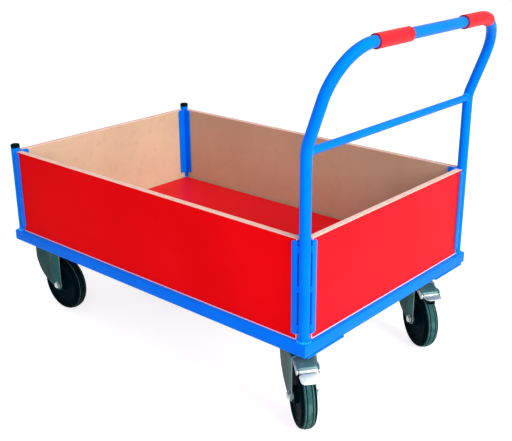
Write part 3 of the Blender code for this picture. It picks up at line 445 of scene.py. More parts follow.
# The lighter tread's grey is dust with a painted sheen; the fixed wheels get the darker copy.
lighter_tread_dust_and_sheen = tread_with_painted_light("lighter tread with dust and painted sheen", (0.026, 0.090, 0.090), (0.064, 0.152, 0.150), 0.5)
darker_tread = tread_with_painted_light("darker tread with painted light", (0.0005, 0.0070, 0.0085), (0.002, 0.016, 0.018), 0.9)
print("treads:", lighter_tread_dust_and_sheen.name, "and", darker_tread.name)

# %% [markdown]
# ## Zinc
# The forks are pressed steel with a dull, faintly green zinc plate, streaked by the bath it was
# dipped in. The brake pedals, bolts and bearings are plated bright. One grey metal would do from afar.
# Two noises, one of them stretched down the dip, keep the plate alive close up, and each kind of part
# has its own depth of colour.

# %% Dull and bright zinc
def zinc_plate(name, dull, light, roughness, streak=0.5, metallic=0.5, shine=0.5):
    """Tall clouds of two greys, darkened and roughened by a finer bloom."""
    metal = Finish(name, metallic=metallic, shine=shine)
    bath, grain = metal.noise(22.0, 4.0, 0.6, stretch=(1, 1, 0.35)), metal.noise(500.0, 3.0)
    bloom = metal.noise(70.0, 3.0, 0.65)
    colour = metal.mix(bath.fade(0.35, 0.7), dull, light)
    colour = metal.mix(bloom.fade(0.55, 0.8) * streak, colour, tuple(0.72 * part for part in dull))
    metal.bump(grain, 0.10, 0.0002)
    return metal, colour, roughness + bloom * 0.16


def plain_zinc(*sizes):
    """Zinc plate with nothing over it."""
    metal, colour, rough = zinc_plate(*sizes)
    return metal.set(Base_Color=colour, Roughness=rough)


zinc = plain_zinc("dull zinc", (0.075, 0.175, 0.168), (0.165, 0.270, 0.260), 0.30)
bright = plain_zinc("bright zinc", (0.47, 0.54, 0.54), (0.62, 0.67, 0.67), 0.30, 0.2)
nut_zinc = plain_zinc("nut zinc", (0.42, 0.50, 0.48), (0.58, 0.65, 0.63), 0.28, 0.3, 0.8)
# The lighter zinc on the sheets' rims is a painted highlight along their edges.
edge_zinc_with_painted_highlight = plain_zinc("cut zinc edge", (0.18, 0.26, 0.25), (0.30, 0.39, 0.38), 0.36)
print("zincs:", [one.name for one in (zinc, bright, nut_zinc, edge_zinc_with_painted_highlight)])


# %% Zinc of the forks
def fork_zinc():
    """Teal on the front strip of a leg, a painted reflection of the blue chassis, and plain zinc behind it, by
    the sheet's mark.
    """
    metal, colour, rough = zinc_plate(
        "fork zinc with painted blue reflection", (0.013, 0.058, 0.054), (0.050, 0.110, 0.100), 0.36, metallic=0.35, shine=0.03,
    )
    mark = metal.node("ShaderNodeAttribute", {"attribute_name": "mark"}, out="Fac")
    # The teal mixed over the front strip is a painted reflection of the blue chassis.
    strip = metal.mix(mark.fade(0.58, 0.92) * 0.85, colour, (0.002, 0.115, 0.112))
    return metal.set(Base_Color=strip, Roughness=rough)


fork_zinc_with_painted_reflection = fork_zinc()
print("forks:", fork_zinc_with_painted_reflection.name)

# %% [markdown]
# ## The chassis
# Four lengths of 30 mm square tube are mitred and welded into a rectangle, then ground smooth, so
# the outside reads as one piece. Four bars could be laid end to end, but lines would show where they
# meet. So one section is carried round the four corners: a point at (out, up) of the section lies
# that far out from the corner on both axes, which makes the mitre by itself.

# %% Rails
def eased_box(width, height, corner, steps):
    """Outline of a rectangle whose corners are quarter circles, anticlockwise."""
    angle = np.linspace(0, np.pi / 2, steps)[None] + np.arange(4)[:, None] * np.pi / 2
    signs = np.array([[1, 1], [-1, 1], [-1, -1], [1, -1]])[:, None]
    middle = signs * (np.array([width, height]) / 2 - corner)
    return (middle + corner * np.stack([np.cos(angle), np.sin(angle)], axis=-1)).reshape(-1, 2)


def mitred_frame(low, high, size, corner):
    """Corner (sx, sy) of a rectangle plus (sx out, sy out, up) for each section point (out, up)."""
    section = eased_box(size, size, corner, 6)
    signs = np.array([[-1, -1], [1, -1], [1, 1], [-1, 1]])
    centre, half = (low + high) / 2, (high - low) / 2 - size / 2
    flat = signs[:, None] * (half[:2] + section[None, :, :1])
    up = np.broadcast_to(section[None, :, 1:], (4, len(section), 1))
    return centre + np.concatenate([flat, up], axis=-1)


rails = mitred_frame(chassis_low, chassis_high, rail_size, 0.003)
add_piece(
    "chassis_rails", [rails], powder, "chassis",
    ("side_rail_near", "side_rail_far", "end_rail_plain", "end_rail_handle"), rows_wrap=True,
)

# %% [markdown]
# The cross members, the plates that carry the casters and the inner guide angles are flat-sided, so
# their measured solids already have the right shape and only take the paint.

# %% Paint the flat pieces
FLAT = ("cross_member", "caster_mount", "guide_angle")
flat_pieces = [name for name in frame["nodes"] if name.startswith(FLAT)]
for name in flat_pieces:
    node = frame["nodes"][name]
    node.data.materials.clear()
    node.data.materials.append(powder)
print("painted:", len(flat_pieces), "measured pieces")

# %% [markdown]
# ## Uprights and handle
# Two short posts and the handle's two legs stand on the corners. The handle is one tube: up, a knee
# that leans it 20 degrees over the end, two wide bends and the bar between them. A spline would be
# quicker to draw, but a pipe bender makes true arcs between straight lengths, so the line has them too.

# %% Centre lines
TUBE, TUBE_SIDES = 0.0125, 28
KNEE_RISE, HANDLE_RISE, LEAN = 0.426, 0.630, math.radians(20.0)
KNEE_RADIUS, BEND_RADIUS, STEP = 0.080, 0.110, 0.006
lean = np.array([math.sin(LEAN), 0.0, math.cos(LEAN)])


def even_steps(points, step):
    """The same path with points at equal distances, found by its running length."""
    points = np.asarray(points, float)
    reach = np.concatenate([[0.0], np.cumsum(np.linalg.norm(np.diff(points, axis=0), axis=1))])
    places = np.linspace(0.0, reach[-1], max(int(round(reach[-1] / step)), 1) + 1)
    return np.stack([np.interp(places, reach, points[:, k]) for k in range(3)], axis=-1)


def handle_line():
    """Foot, knee arc, bend arc, then the same mirrored in Y. Each arc is centre + R (u cos a + v sin a)."""
    foot = np.array([leg_x, -upright_y, frame_top])
    knee = foot + Z * KNEE_RISE
    peak = knee + lean * (HANDLE_RISE - KNEE_RISE) / math.cos(LEAN)
    centre = knee + np.array([KNEE_RADIUS, 0.0, -KNEE_RADIUS * math.tan(LEAN / 2)])
    angle = np.linspace(0, LEAN, 12)[:, None]
    knee_arc = centre + KNEE_RADIUS * (Z * np.sin(angle) - X * np.cos(angle))
    centre = peak + (Y - lean) * BEND_RADIUS
    angle = np.linspace(0, np.pi / 2, 28)[:, None]
    bend_arc = centre + BEND_RADIUS * (lean * np.sin(angle) - Y * np.cos(angle))
    half = np.concatenate([foot[None], knee_arc, bend_arc])
    return np.concatenate([half, half[::-1] * [1, -1, 1]])


handle_path = even_steps(handle_line(), STEP)
print(f"handle tube: {len(handle_path)} rings, {STEP * (len(handle_path) - 1):.2f} m long")

# %% [markdown]
# ## A section carried along a line
# Posts, handle, crossbar, grips and weld beads are each a ring carried along a line and kept square to
# it. A curve with a bevel could make the tubes too, but a grid can change its section on the way, as a
# weld or a grip's lip does. A row at each end that shrinks to a point closes the tube.

# %% Rings along a line
def unit(vectors):
    """Each vector divided by its own length."""
    return vectors / np.linalg.norm(vectors, axis=-1, keepdims=True)


def ring(radius, count):
    """Points (r cos a, r sin a) round a circle."""
    angle = np.arange(count) * 2 * np.pi / count
    return np.stack([radius * np.cos(angle), radius * np.sin(angle)], axis=-1)


def carried(path, section, across):
    """Path + a n + b m for each section point (a, b), where n = t x across and m = n x t for direction t."""
    along = unit(np.gradient(path, axis=0))
    side = unit(np.cross(along, np.broadcast_to(across, along.shape)))
    up = np.cross(side, along)
    section = np.broadcast_to(section, (len(path), *section.shape[-2:]))
    return path[:, None] + section[..., :1] * side[:, None] + section[..., 1:] * up[:, None]


def closed(grid):
    """Adds a row at each end that shrinks to the middle of the end row."""
    first = np.broadcast_to(grid[0].mean(axis=0), grid[0].shape)
    last = np.broadcast_to(grid[-1].mean(axis=0), grid[-1].shape)
    return np.concatenate([first[None], grid, last[None]])


print("points round a tube:", len(ring(TUBE, TUBE_SIDES)))

# %% [markdown]
# ## Guide strips
# Each upright carries two flat strips that hold the boards from outside. They are joined to the tube
# by stitch welds, and a thin stop plate closes the slot between strip and tube, so that a board's end
# doesn't show there. A cube with a bevel could be a strip. An outline whose rows draw in at both faces
# gives the same eased edge for any shape, so it also serves for boards, caster plates and pedals.

# %% A flat plate with eased edges
def plate(outline, thickness, ease, steps=3):
    """Rows (outline - (1 - sin a) ease n, height) up one eased edge and down the other, n pointing out."""
    ahead = np.roll(outline, -1, axis=0) - np.roll(outline, 1, axis=0)
    normal = unit(np.stack([ahead[:, 1], -ahead[:, 0]], axis=-1))
    angle = np.linspace(0, np.pi / 2, steps)
    inset = np.concatenate([ease * (1 - np.sin(angle)), ease * (1 - np.sin(angle[::-1]))])
    rise = thickness / 2 - ease * (1 - np.cos(angle))
    height = np.concatenate([-rise, rise[::-1]])
    flat = outline[None] - inset[:, None, None] * normal[None]
    return np.concatenate([flat, np.broadcast_to(height[:, None, None], (*flat.shape[:2], 1))], axis=-1)


def laid(grid, origin, first, second):
    """Origin + u first + v second + w (first x second) for each point (u, v, w)."""
    first, second = np.asarray(first, float), np.asarray(second, float)
    return origin + grid[..., :1] * first + grid[..., 1:2] * second + grid[..., 2:] * np.cross(first, second)


print("a plate's grid:", plate(eased_box(0.1, 0.05, 0.01, 5), 0.003, 0.001).shape)

# %% [markdown]
# A weld is a rippled bead: a small round section whose radius rises and falls with each puddle, and
# tapers at both ends. Bump could draw it, but a real bead stands proud of the tube and catches light,
# so it is a shape.

# %% A weld bead
STITCH_LONG, STITCH_RADIUS, PUDDLE = 0.016, 0.0025, 0.0032


def weld_bead(path, radius, pitch, across):
    """A tube of radius r (0.75 + 0.25 |sin(pi s / pitch)|) sqrt(1 - w^8), w running from -1 to 1 along it."""
    path = even_steps(path, pitch / 6)
    way = np.linspace(-1, 1, len(path))
    ripple = 0.75 + 0.25 * np.abs(np.sin(np.pi * np.arange(len(path)) / 6))
    size = radius * ripple * np.sqrt(np.clip(1 - way**8, 0.02, 1))
    return closed(carried(path, ring(1.0, 10)[None] * size[:, None, None], across))


print(f"a stitch: {STITCH_LONG / PUDDLE:.0f} puddles")

# %% Guide strips with their stitches
STRIP_NEAR, STRIP_WIDE, STRIP_THICK, STRIP_OUT, STRIP_ROUND = 0.0115, 0.0150, 0.0030, 0.0086, 0.0055
STRIP_RISE, STRIP_DROP = 0.016, 0.004
STOP_IN, STOP_OUT, STOP_WIDE, STOP_THICK = 0.0143, 0.0027, 0.0110, 0.0010
SEAM_IN, SEAM_OUT = 0.0098, 0.0100
STITCHES = (0.04, 0.46, 0.88)
strip_low, strip_high = frame_top + STRIP_RISE, side_top - STRIP_DROP


def upright_at(sx, sy):
    """The point under an upright, which is a post where sx is -1 and a handle leg where it is 1."""
    return np.array([leg_x if sx > 0 else post_at[0], sy * upright_y, 0.0])


def strips_and_welds(sx, sy):
    """Two strips square to each other, each reaching inwards along its own board.
    Each has a stop plate behind it, square to it, and stitch welds along its seam with the tube."""
    foot = upright_at(sx, sy)
    length = strip_high - strip_low
    strip = plate(eased_box(STRIP_WIDE, length, STRIP_ROUND, 6), STRIP_THICK, 0.0007)
    stop = plate(eased_box(STOP_WIDE, length, 0.0005, 2), STOP_THICK, 0.0002)
    grids = []
    for inwards, outwards in ((-sx * X, sy * Y), (-sy * Y, sx * X)):
        middle = foot + Z * (strip_low + length / 2)
        centre = middle + inwards * (STRIP_NEAR + STRIP_WIDE / 2) + outwards * (STRIP_OUT + STRIP_THICK / 2)
        behind = middle + inwards * STOP_IN + outwards * STOP_OUT
        up = Z if np.cross(inwards, Z) @ outwards > 0 else -Z
        grids += [closed(laid(strip, centre, inwards, up)), closed(laid(stop, behind, outwards, up))]
        seam = foot + inwards * SEAM_IN + outwards * SEAM_OUT
        for share in STITCHES:
            start = seam + Z * (strip_low + share * length)
            grids.append(weld_bead(np.array([start, start + Z * STITCH_LONG]), STITCH_RADIUS, PUDDLE, X))
    return grids


print(f"strips from {strip_low:.4f} to {strip_high:.4f}, with {2 * len(STITCHES)} stitches on an upright")

# %% [markdown]
# A tube's foot is welded to the frame all round, with a thicker bead. A torus would be even all the
# way, so here the radius of the bead's own ring rises and falls with the angle.

# %% A bead round a tube's foot
FOOT_BEAD = 0.0042


def bead_round(path, size, outwards, up):
    """Path + size (cos b outwards + sin b up) for each angle b round the bead's own section."""
    small = ring(1.0, 10)
    spokes = small[None, :, :1] * outwards[:, None] + small[None, :, 1:] * up
    return path[:, None] + size[:, None, None] * spokes


def foot_weld(sx, sy):
    """A bead round a tube's foot, its radius rippling with the angle."""
    angle = np.linspace(0, 2 * np.pi, 73)[:-1]
    size = FOOT_BEAD * (0.62 + 0.38 * np.abs(np.sin(7 * angle)))
    turn = np.stack([np.cos(angle), np.sin(angle), np.zeros_like(angle)], axis=-1)
    path = upright_at(sx, sy) + Z * (frame_top + 0.0006) + turn * (TUBE + 0.0003)
    return bead_round(path, size, turn, Z)


print("a foot's bead:", foot_weld(1, 1).shape)

# %% Make the posts
for side, sy in (("near", -1), ("far", 1)):
    line = even_steps([upright_at(-1, sy) + Z * frame_top, upright_at(-1, sy) + Z * (post_top - 0.0003)], 0.02)
    tube = closed(carried(line, ring(TUBE, TUBE_SIDES), X))
    add_piece(
        f"post_{side}", [tube] + strips_and_welds(-1, sy), powder, "chassis",
        (f"corner_post_{side}",),
    )
    add_piece(
        f"post_foot_weld_{side}", [foot_weld(-1, sy)], weld_coat_with_painted_highlights, "chassis", rows_wrap=True,
    )

# %% [markdown]
# The handle gets the same strips on both legs. A crossbar of thinner tube joins the legs below the
# knee. A flat ring would cut into the leg, so the weld round each end follows the seam of the two tubes.

# %% Handle and crossbar
hoop = closed(carried(handle_path, ring(TUBE, TUBE_SIDES), X))
add_piece(
    "push_handle", [hoop] + strips_and_welds(1, -1) + strips_and_welds(1, 1), powder, "chassis",
    ("handle_hoop",),
)
CROSSBAR, BAR_LAP, END_BEAD = 0.0090, 0.004, 0.0020
bar_at = middle_of("handle_crossbar")
ends = [bar_at + Y * (sy * (upright_y - BAR_LAP)) for sy in (-1, 1)]
crossbar = closed(carried(even_steps(ends, 0.02), ring(CROSSBAR, 24), X))
add_piece("crossbar", [crossbar], powder, "chassis", ("handle_crossbar",))


# %% Welds at the crossbar's ends and the handle's feet
def bar_end_weld(sy):
    """A bead on the seam of a bar with a tube of radius R, which lies sqrt(R^2 - a^2) from the tube's
    middle at each point (a, b) of a circle just outside the bar."""
    angle = np.linspace(0, 2 * np.pi, 49)[:-1]
    a, b = (CROSSBAR + 0.0005) * np.cos(angle), (CROSSBAR + 0.0005) * np.sin(angle)
    depth = np.sqrt(TUBE**2 - a**2)
    path = bar_at + a[:, None] * X + b[:, None] * Z + (sy * (upright_y - depth))[:, None] * Y
    outwards = unit(np.stack([a, np.zeros_like(a), b], axis=-1))
    size = END_BEAD * (0.8 + 0.2 * np.abs(np.sin(7 * angle)))
    return bead_round(path, size, outwards, Y)


for side, sy in (("near", -1), ("far", 1)):
    for name, bead in (("crossbar_weld", bar_end_weld(sy)), ("leg_foot_weld", foot_weld(1, sy))):
        add_piece(f"{name}_{side}", [bead], weld_coat_with_painted_highlights, "chassis", rows_wrap=True)

# %% [markdown]
# ## Grips and caps
# A grip is a vinyl sleeve pushed along the tube, with a soft rounded lip at each end. The far one
# reaches into the bend, where a straight cylinder would stand off the tube, so both follow the tube's
# own line. The vinyl is soft and red, and painted shade darkens its ends where they meet the tube.

# %% Grip vinyl
def grip_vinyl(half_length, centres):
    """Red vinyl with painted shade over the last 3 mm of a sleeve, by the distance along Y from its middle."""
    vinyl = Finish("red grip vinyl", shine=0.10)
    along = vinyl.axis("Y")
    painted_end_shade = 1.0
    for centre in centres:
        painted_end_shade = painted_end_shade * abs(along - centre).fade(half_length - 0.0030, half_length - 0.0012)
    grain, cloud = vinyl.noise(850.0, 2.0), vinyl.noise(30.0, 2.0)
    red = vinyl.mix(cloud, (0.74, 0.012, 0.022), (0.82, 0.017, 0.028))
    # The near black at the sleeve's ends is painted shade.
    red = vinyl.mix(painted_end_shade * 0.75, red, (0.05, 0.004, 0.02))
    vinyl.bump(grain, 0.12, 0.0002)
    return vinyl.set(Base_Color=red, Roughness=0.36 + cloud * 0.1)


GRIP_LENGTH, GRIP_RADIUS, LIP = 0.125, 0.0158, 0.002
GRIPS_AT = {"near": -0.1485, "far": 0.196}
grip_centres = [middle_of("grip_near")[1], middle_of("grip_far")[1]]
vinyl = grip_vinyl(GRIP_LENGTH / 2, grip_centres)
print("grips:", vinyl.name, f"{GRIP_LENGTH} m long")

# %% Grips
handle_reach = np.concatenate([[0.0], np.cumsum(np.linalg.norm(np.diff(handle_path, axis=0), axis=1))])


def path_at(distance):
    """Points at these distances along the handle from its middle."""
    places = np.asarray(distance) + handle_reach[-1] / 2
    return np.stack([np.interp(places, handle_reach, handle_path[:, k]) for k in range(3)], axis=-1)


def sleeve(centre):
    """A wall whose radius follows sqrt(1 - t^2) over the last 2 mm, closed on the tube inside it."""
    way = np.concatenate([[0.0, 0.15, 0.5, 1.0], np.linspace(2.2, 61.0, 22)]) / 1000
    rise = np.sqrt(np.clip(1 - (1 - np.clip(way / LIP, 0, 1)) ** 2, 0, 1))
    radius = TUBE + (GRIP_RADIUS - TUBE) * (0.25 + 0.75 * rise)
    way, radius = np.concatenate([way, GRIP_LENGTH - way[::-1]]), np.concatenate([radius, radius[::-1]])
    path = path_at(centre - GRIP_LENGTH / 2 + way)
    outer = carried(path, ring(1.0, 32)[None] * radius[:, None, None], X)
    inner = carried(path[[0, -1]], ring(TUBE - 0.0004, 32), X)
    return np.concatenate([inner[:1], outer, inner[1:]])


for side, centre in GRIPS_AT.items():
    wall = closed(sleeve(centre))
    add_piece(f"grip_sleeve_{side}", [wall], vinyl, "chassis", (f"grip_{side}",))

# %% [markdown]
# Caps, wheels, bolts and races are round about one line, as if made on a lathe. Blender's screw
# modifier could turn them too. A formula on the profile gives the grid at once, about any axle.

# %% A profile turned on an axle
def turned(profile, centre, axle, count):
    """Centre + h axle + r (e cos a + f sin a) for each profile point (r, h), e and f square to the axle."""
    profile, axle = np.asarray(profile, float), np.asarray(axle, float)
    e = unit(np.cross(axle, Z if abs(axle[2]) < 0.9 else X))
    f = np.cross(axle, e)
    angle = (np.arange(count) + 0.5) * 2 * np.pi / count
    spokes = np.cos(angle)[:, None] * e + np.sin(angle)[:, None] * f
    return centre + profile[:, None, 1:] * axle + profile[:, None, :1] * spokes


print("a disc's grid:", turned([(0.0, 0.0), (0.1, 0.0)], np.zeros(3), Z, 32).shape)

# %% Post caps
for side, sy in (("near", -1), ("far", 1)):
    profile = [(0.0, -0.008), (0.0100, -0.008), (0.0102, 0.0), (0.0122, 0.0003), (0.0125, 0.0012)]
    profile += [(0.0125, 0.0070), (0.0120, 0.0086), (0.0108, 0.0095), (0.0075, 0.0099), (0.0, 0.0100)]
    cap = turned(profile, upright_at(-1, sy) + Z * post_top, Z, 32)
    add_piece(f"post_plug_{side}", [cap], plastic, "chassis", (f"post_cap_{side}",))

# %% [markdown]
# ## Deck and boards
# A board is a flat plate: an outline, eased at its two faces by about a millimetre. Its rows are
# shared out among four finishes: the show face, a narrow line of pale core where the laminate is cut,
# whose lilac tint is a painted reflection of the blue rail, the sawn edge and the raw face. A cube with
# a bevel has the same outline, but no rows to colour.

# %% Boards
def board(name, node, facing, body, laminate, raw_face, ease=0.0012, cut=0.0024):
    """A plate that fills a node's box, its last row on the show side.
    The laminate ends a cut above the lower edge, where the core shows."""
    low, high = box_of(node)
    size, centre = high - low, (low + high) / 2
    facing = np.asarray(facing, float)
    second = Z if abs(facing[2]) < 0.5 else Y
    first = np.cross(second, facing)
    width, height = abs(first) @ size, abs(second) @ size
    sheet = plate(eased_box(width, height, 0.0025, 3), abs(facing) @ size, ease)
    face = sheet[-1].copy()
    face[:, 1] = np.maximum(face[:, 1], -height / 2 + ease + cut)
    sheet = closed(laid(np.concatenate([sheet, face[None]]), centre, first, second))
    parts = [(sheet[:2], 1), (sheet[1:-2], 2), (sheet[-3:-1], 3), (sheet[-2:], 0)]
    finishes = [laminate, raw_face, edge_face, core_with_painted_reflection]
    add_piece(name, parts, finishes, body, (node,), sharp=20)


board("deck", "deck_board", Z, "chassis", lit_red_laminate, warm_raw, 0.0007, 0.0)
for side, facing in (("near", -Y), ("far", Y)):
    board(f"board_{side}", f"side_board_{side}", facing, f"board_{side}", shaded_red_laminate, shaded_raw_fibreboard)
for side, facing in (("plain", -X), ("handle", X)):
    board(f"board_{side}", f"side_board_{side}", facing, f"board_{side}", lit_red_laminate, warm_raw)

# %% [markdown]
# ## Wheels
# A wheel is turned: rubber with two grooves round its crown, a plastic centre with a stepped web and
# a hub, and a bearing sleeve. A torus would be too round for a tyre. The crown follows a superellipse,
# which is flatter in the middle than a circle.

# %% The tyre's section
WHEEL, WIDTH, BORE, WIDEST = 0.0796, 0.038, 0.058, 0.066
GROOVES, GROOVE_DEEP, GROOVE_HALF, CROWN_POWER = (-0.0065, 0.0065), 0.0020, 0.0011, 2.2


def tyre_section():
    """Radius w + (R - w) (1 - |y / h|^p)^(1/p), less a rounded groove at two places, closed round the bead."""
    y = np.linspace(-1, 1, 65) * (WIDTH / 2) * 0.9995
    crown = WIDEST + (WHEEL - WIDEST) * (1 - np.abs(y / (WIDTH / 2)) ** CROWN_POWER) ** (1 / CROWN_POWER)
    for groove in GROOVES:
        crown -= GROOVE_DEEP * np.exp(-(((y - groove) / GROOVE_HALF) ** 4))
    bead = [(BORE + 0.0025, 0.0178), (BORE + 0.0006, 0.0166), (BORE, 0.0150), (BORE, -0.0150)]
    bead += [(BORE + 0.0006, -0.0166), (BORE + 0.0025, -0.0178)]
    return np.concatenate([np.stack([crown, y], axis=-1), bead])


print(f"tyre: {len(tyre_section())} points round its section, widest radius {tyre_section()[:, 0].max():.4f}")


# %% The wheel centre's section
def centre_section():
    """Half of the wheel centre from bore to seat, mirrored in its middle."""
    half = [(0.0113, 0.0), (0.0113, 0.0226), (0.0120, 0.0230), (0.0190, 0.0230), (0.0200, 0.0222)]
    half += [(0.0206, 0.0150), (0.0220, 0.0134), (0.0330, 0.0122), (0.0340, 0.0132), (0.0370, 0.0132)]
    half += [(0.0380, 0.0122), (0.0470, 0.0124), (0.0500, 0.0130), (0.0525, 0.0150), (0.0532, 0.0155)]
    half += [(0.0570, 0.0155), (0.0576, 0.0150), (0.0577, 0.0)]
    half = np.array(half)
    return np.concatenate([half, half[-2:0:-1] * [1, -1]])


print("wheel centre:", len(centre_section()), "points round its section")

# %% Make the wheels
TREAD_FROM, TREAD_TO = 9, 55
SLEEVE_WALL = [
    (0.0056, -0.0262), (0.0105, -0.0262), (0.0110, -0.0257),
    (0.0110, 0.0257), (0.0105, 0.0262), (0.0056, 0.0262),
]


def add_wheel(name, joint, body, tread_face):
    """Turns a tyre, a centre and a bearing on a joint's axis, and gives that axis's place and direction."""
    hinge = joint_at[joint]
    centre, axle = np.array(hinge["pos_m"]), unit(np.array(hinge["axis"], float))
    tyre = turned(tyre_section(), centre, axle, 96)
    crown = tyre[TREAD_FROM:TREAD_TO + 1]
    sides = np.concatenate([tyre[TREAD_TO:], tyre[:TREAD_FROM + 1]])
    aside = np.concatenate([(part - centre) @ axle for part in (sides, crown)])
    add_piece(
        f"tread_{name}", [(sides, 0), (crown, 1)], [rubber, tread_face], body, (f"tyre_{name}",),
        mark=aside,
    )
    hub = turned(centre_section(), centre, axle, 72)
    add_piece(f"centre_{name}", [hub], plastic, body, (f"wheel_rim_{name}",), rows_wrap=True)
    shaft = turned(SLEEVE_WALL, centre, axle, 32)
    add_piece(
        f"bearing_{name}", [shaft], bright, body, (f"wheel_bearing_{name}",), rows_wrap=True,
    )
    return centre, axle


wheel_places = {}
for side in ("near", "far"):
    for kind, tread_face in (("fixed", darker_tread), ("swivel", lighter_tread_dust_and_sheen)):
        joint, body = f"{kind}_wheel_spin_{side}", f"{kind}_wheel_{side}"
        wheel_places[f"{kind}_{side}"] = add_wheel(f"{kind}_{side}", joint, body, tread_face)

# %% [markdown]
# ## Bolts
# A hexagon head could be a prism with bevelled corners. Turning a profile in six steps gives the flats
# by itself, and drawing it in at the top gives the chamfer. A washer lies under it, and the thread
# ends in a small cone.

# %% Bolt heads and nuts
def hexagon(centre, axis, across, height):
    """A turned profile on six corners: up the flats, in along the chamfer, then flat to the middle."""
    corner = across / math.sqrt(3)
    profile = [(0.0, 0.0), (corner, 0.0), (corner, 0.82 * height), (0.86 * corner, height), (0.0, height)]
    return turned(profile, centre, axis, 6)


def head_on_washer(centre, axis, washer, lap, across, height):
    """A washer of (radius, thickness) and a hexagon that starts a lap above the washer's lower face."""
    radius, thick = washer
    profile = [(0.0, 0.0), (radius - 0.0002, 0.0), (radius, 0.0002), (radius, thick), (0.0, thick)]
    return [turned(profile, centre, axis, 28), hexagon(centre + lap * axis, axis, across, height)]


FORK_HALF = 0.0297
AXLE_HEAD = ((0.0098, 0.0014), 0.0012, 0.0160, 0.0058)
AXLE_SHANK = [(0.0, 0.0), (0.0050, 0.0), (0.0050, 0.0680), (0.0040, 0.0688), (0.0, 0.0688)]
for name, (centre, axle) in wheel_places.items():
    body = "chassis" if name.startswith("fixed") else name
    out = centre - axle * FORK_HALF
    grids = head_on_washer(out, -axle, *AXLE_HEAD) + [turned(AXLE_SHANK, out, axle, 24)]
    add_piece(f"axle_bolt_head_{name}", grids, nut_zinc, body, (f"axle_bolt_{name}",))
    grids = head_on_washer(centre + axle * FORK_HALF, axle, *AXLE_HEAD)
    add_piece(f"axle_locknut_{name}", grids, nut_zinc, body, (f"axle_nut_{name}",))

# %% [markdown]
# ## Pressed forks
# A fork is one strip of 3 mm steel, folded over the wheel. Going along the strip, s runs from one
# foot up a leg, round the bend, over the crown and down the other leg. Going across it, t runs from
# the back edge to the front edge, which depend on the height alone. The back edge sweeps forward to
# a round foot. Behind a crease by the axle the legs are splayed a few millimetres to meet the race.
# A solid cut to its side view would have the same outline, but a sheet keeps one thickness round its
# bends, as pressed steel does. Solidify gives it that wall.

# %% The edges of a leg
LEG_AHEAD, LEG_BEHIND, FOOT, SWEEP, SHEET = 0.0145, 0.0918, 0.0148, 0.070, 0.003
FORK_MIDDLE, AXLE_UP, FIXED_TRAIL, CREASE = 0.0280, 0.080, 0.026, 0.008
SWIVEL_SPLAY, FIXED_SPLAY = 0.0040, 0.0015


def leg_edges(height):
    """Front and back edge at heights above the axle: a circle below, a straight front, a quadratic
    sweep behind."""
    foot_end = FOOT * np.array([math.cos(math.radians(-130)), math.sin(math.radians(-130))])
    t = np.linspace(0, 1, 60)[:, None]
    pull, top = np.array([-0.87 * LEG_BEHIND, 0.15 * SWEEP]), np.array([-LEG_BEHIND, SWEEP])
    sweep = foot_end * (1 - t) ** 2 + pull * 2 * t * (1 - t) + top * t**2
    circle = np.radians(np.linspace(-90, -130, 20))[:, None]
    circle = FOOT * np.concatenate([np.cos(circle), np.sin(circle)], axis=-1)
    back = np.concatenate([circle, sweep, [[-LEG_BEHIND, 1.0]]])
    turn = np.radians(np.linspace(-90, -8, 30))[:, None]
    front = FOOT * np.concatenate([np.cos(turn), np.sin(turn)], axis=-1)
    front = np.concatenate([front, [[LEG_AHEAD - 0.0006, 0.006], [LEG_AHEAD, 0.012], [LEG_AHEAD, 1.0]]])
    return np.interp(height, front[:, 1], front[:, 0]), np.interp(height, back[:, 1], back[:, 0])


print("a leg's front and back edge at the axle:", *leg_edges(0.0))


# %% The fork's sheet
def fork_strip(top, bend=0.0055):
    """(y, z) down the middle of the sheet: leg, quarter circle, crown, and the same mirrored."""
    low = AXLE_UP - FOOT + 0.00005
    foot = low + FOOT * (1 - np.cos(np.linspace(0, np.pi / 2, 14)))
    leg = np.concatenate([foot, np.linspace(AXLE_UP + 0.004, top - bend, 26)])
    turn = np.linspace(0, np.pi / 2, 8)[1:]
    bent = FORK_MIDDLE - bend + bend * np.cos(turn)
    y = np.concatenate([np.full(len(leg), FORK_MIDDLE), bent, [0.012, 0.004]])
    z = np.concatenate([leg, top - bend + bend * np.sin(turn), [top, top]])
    return np.concatenate([y, -y[::-1]]), np.concatenate([z, z[::-1]])


def fork_sheet(trail, top, splay):
    """Points (x, y, z) of the middle of the sheet, about the caster's own axes, with t running as
    (1 - cos a) / 2 from edge to edge. Behind the crease a leg moves out by the splay's share."""
    y, z = fork_strip(top)
    front, back = leg_edges(z - AXLE_UP)
    t = (1 - np.cos(np.linspace(0, np.pi, 22))) / 2
    x = back[:, None] + (front - back)[:, None] * t
    share = np.clip((-CREASE - x) / (LEG_BEHIND - CREASE), 0, 1)
    spread = y[:, None] + np.clip(y / FORK_MIDDLE, -1, 1)[:, None] * splay * share
    mark = (x + LEG_BEHIND) / (LEG_AHEAD + LEG_BEHIND)
    return np.stack([x + trail, spread, np.broadcast_to(z[:, None], x.shape)], axis=-1), mark


print("a fork's grid:", fork_sheet(FIXED_TRAIL, 0.19, FIXED_SPLAY)[0].shape)


# %% Where each caster stands
def in_caster(grid, origin, turn):
    """Turns (ahead, across, up) about the vertical by the caster's angle and moves it to its origin."""
    c, s = math.cos(turn), math.sin(turn)
    return grid @ np.array([[c, s, 0], [-s, c, 0], [0, 0, 1]]) + origin


def caster_of(kind, side):
    """Origin on the floor under the plate's middle, the turn, and the trail to the axle."""
    centre, axle = wheel_places[f"{kind}_{side}"]
    turn = math.atan2(-axle[0], axle[1])
    if kind == "swivel":
        origin = middle_of(f"swivel_plate_{side}") * [1, 1, 0]
        return origin, turn, float(np.linalg.norm((centre - origin)[:2]))
    return centre * [1, 1, 0] - X * FIXED_TRAIL, turn, FIXED_TRAIL


for side in ("near", "far"):
    origin, turn, trail = caster_of("swivel", side)
    print(f"{side} swivel caster: turned {math.degrees(turn):.1f} degrees, trail {trail:.4f}")

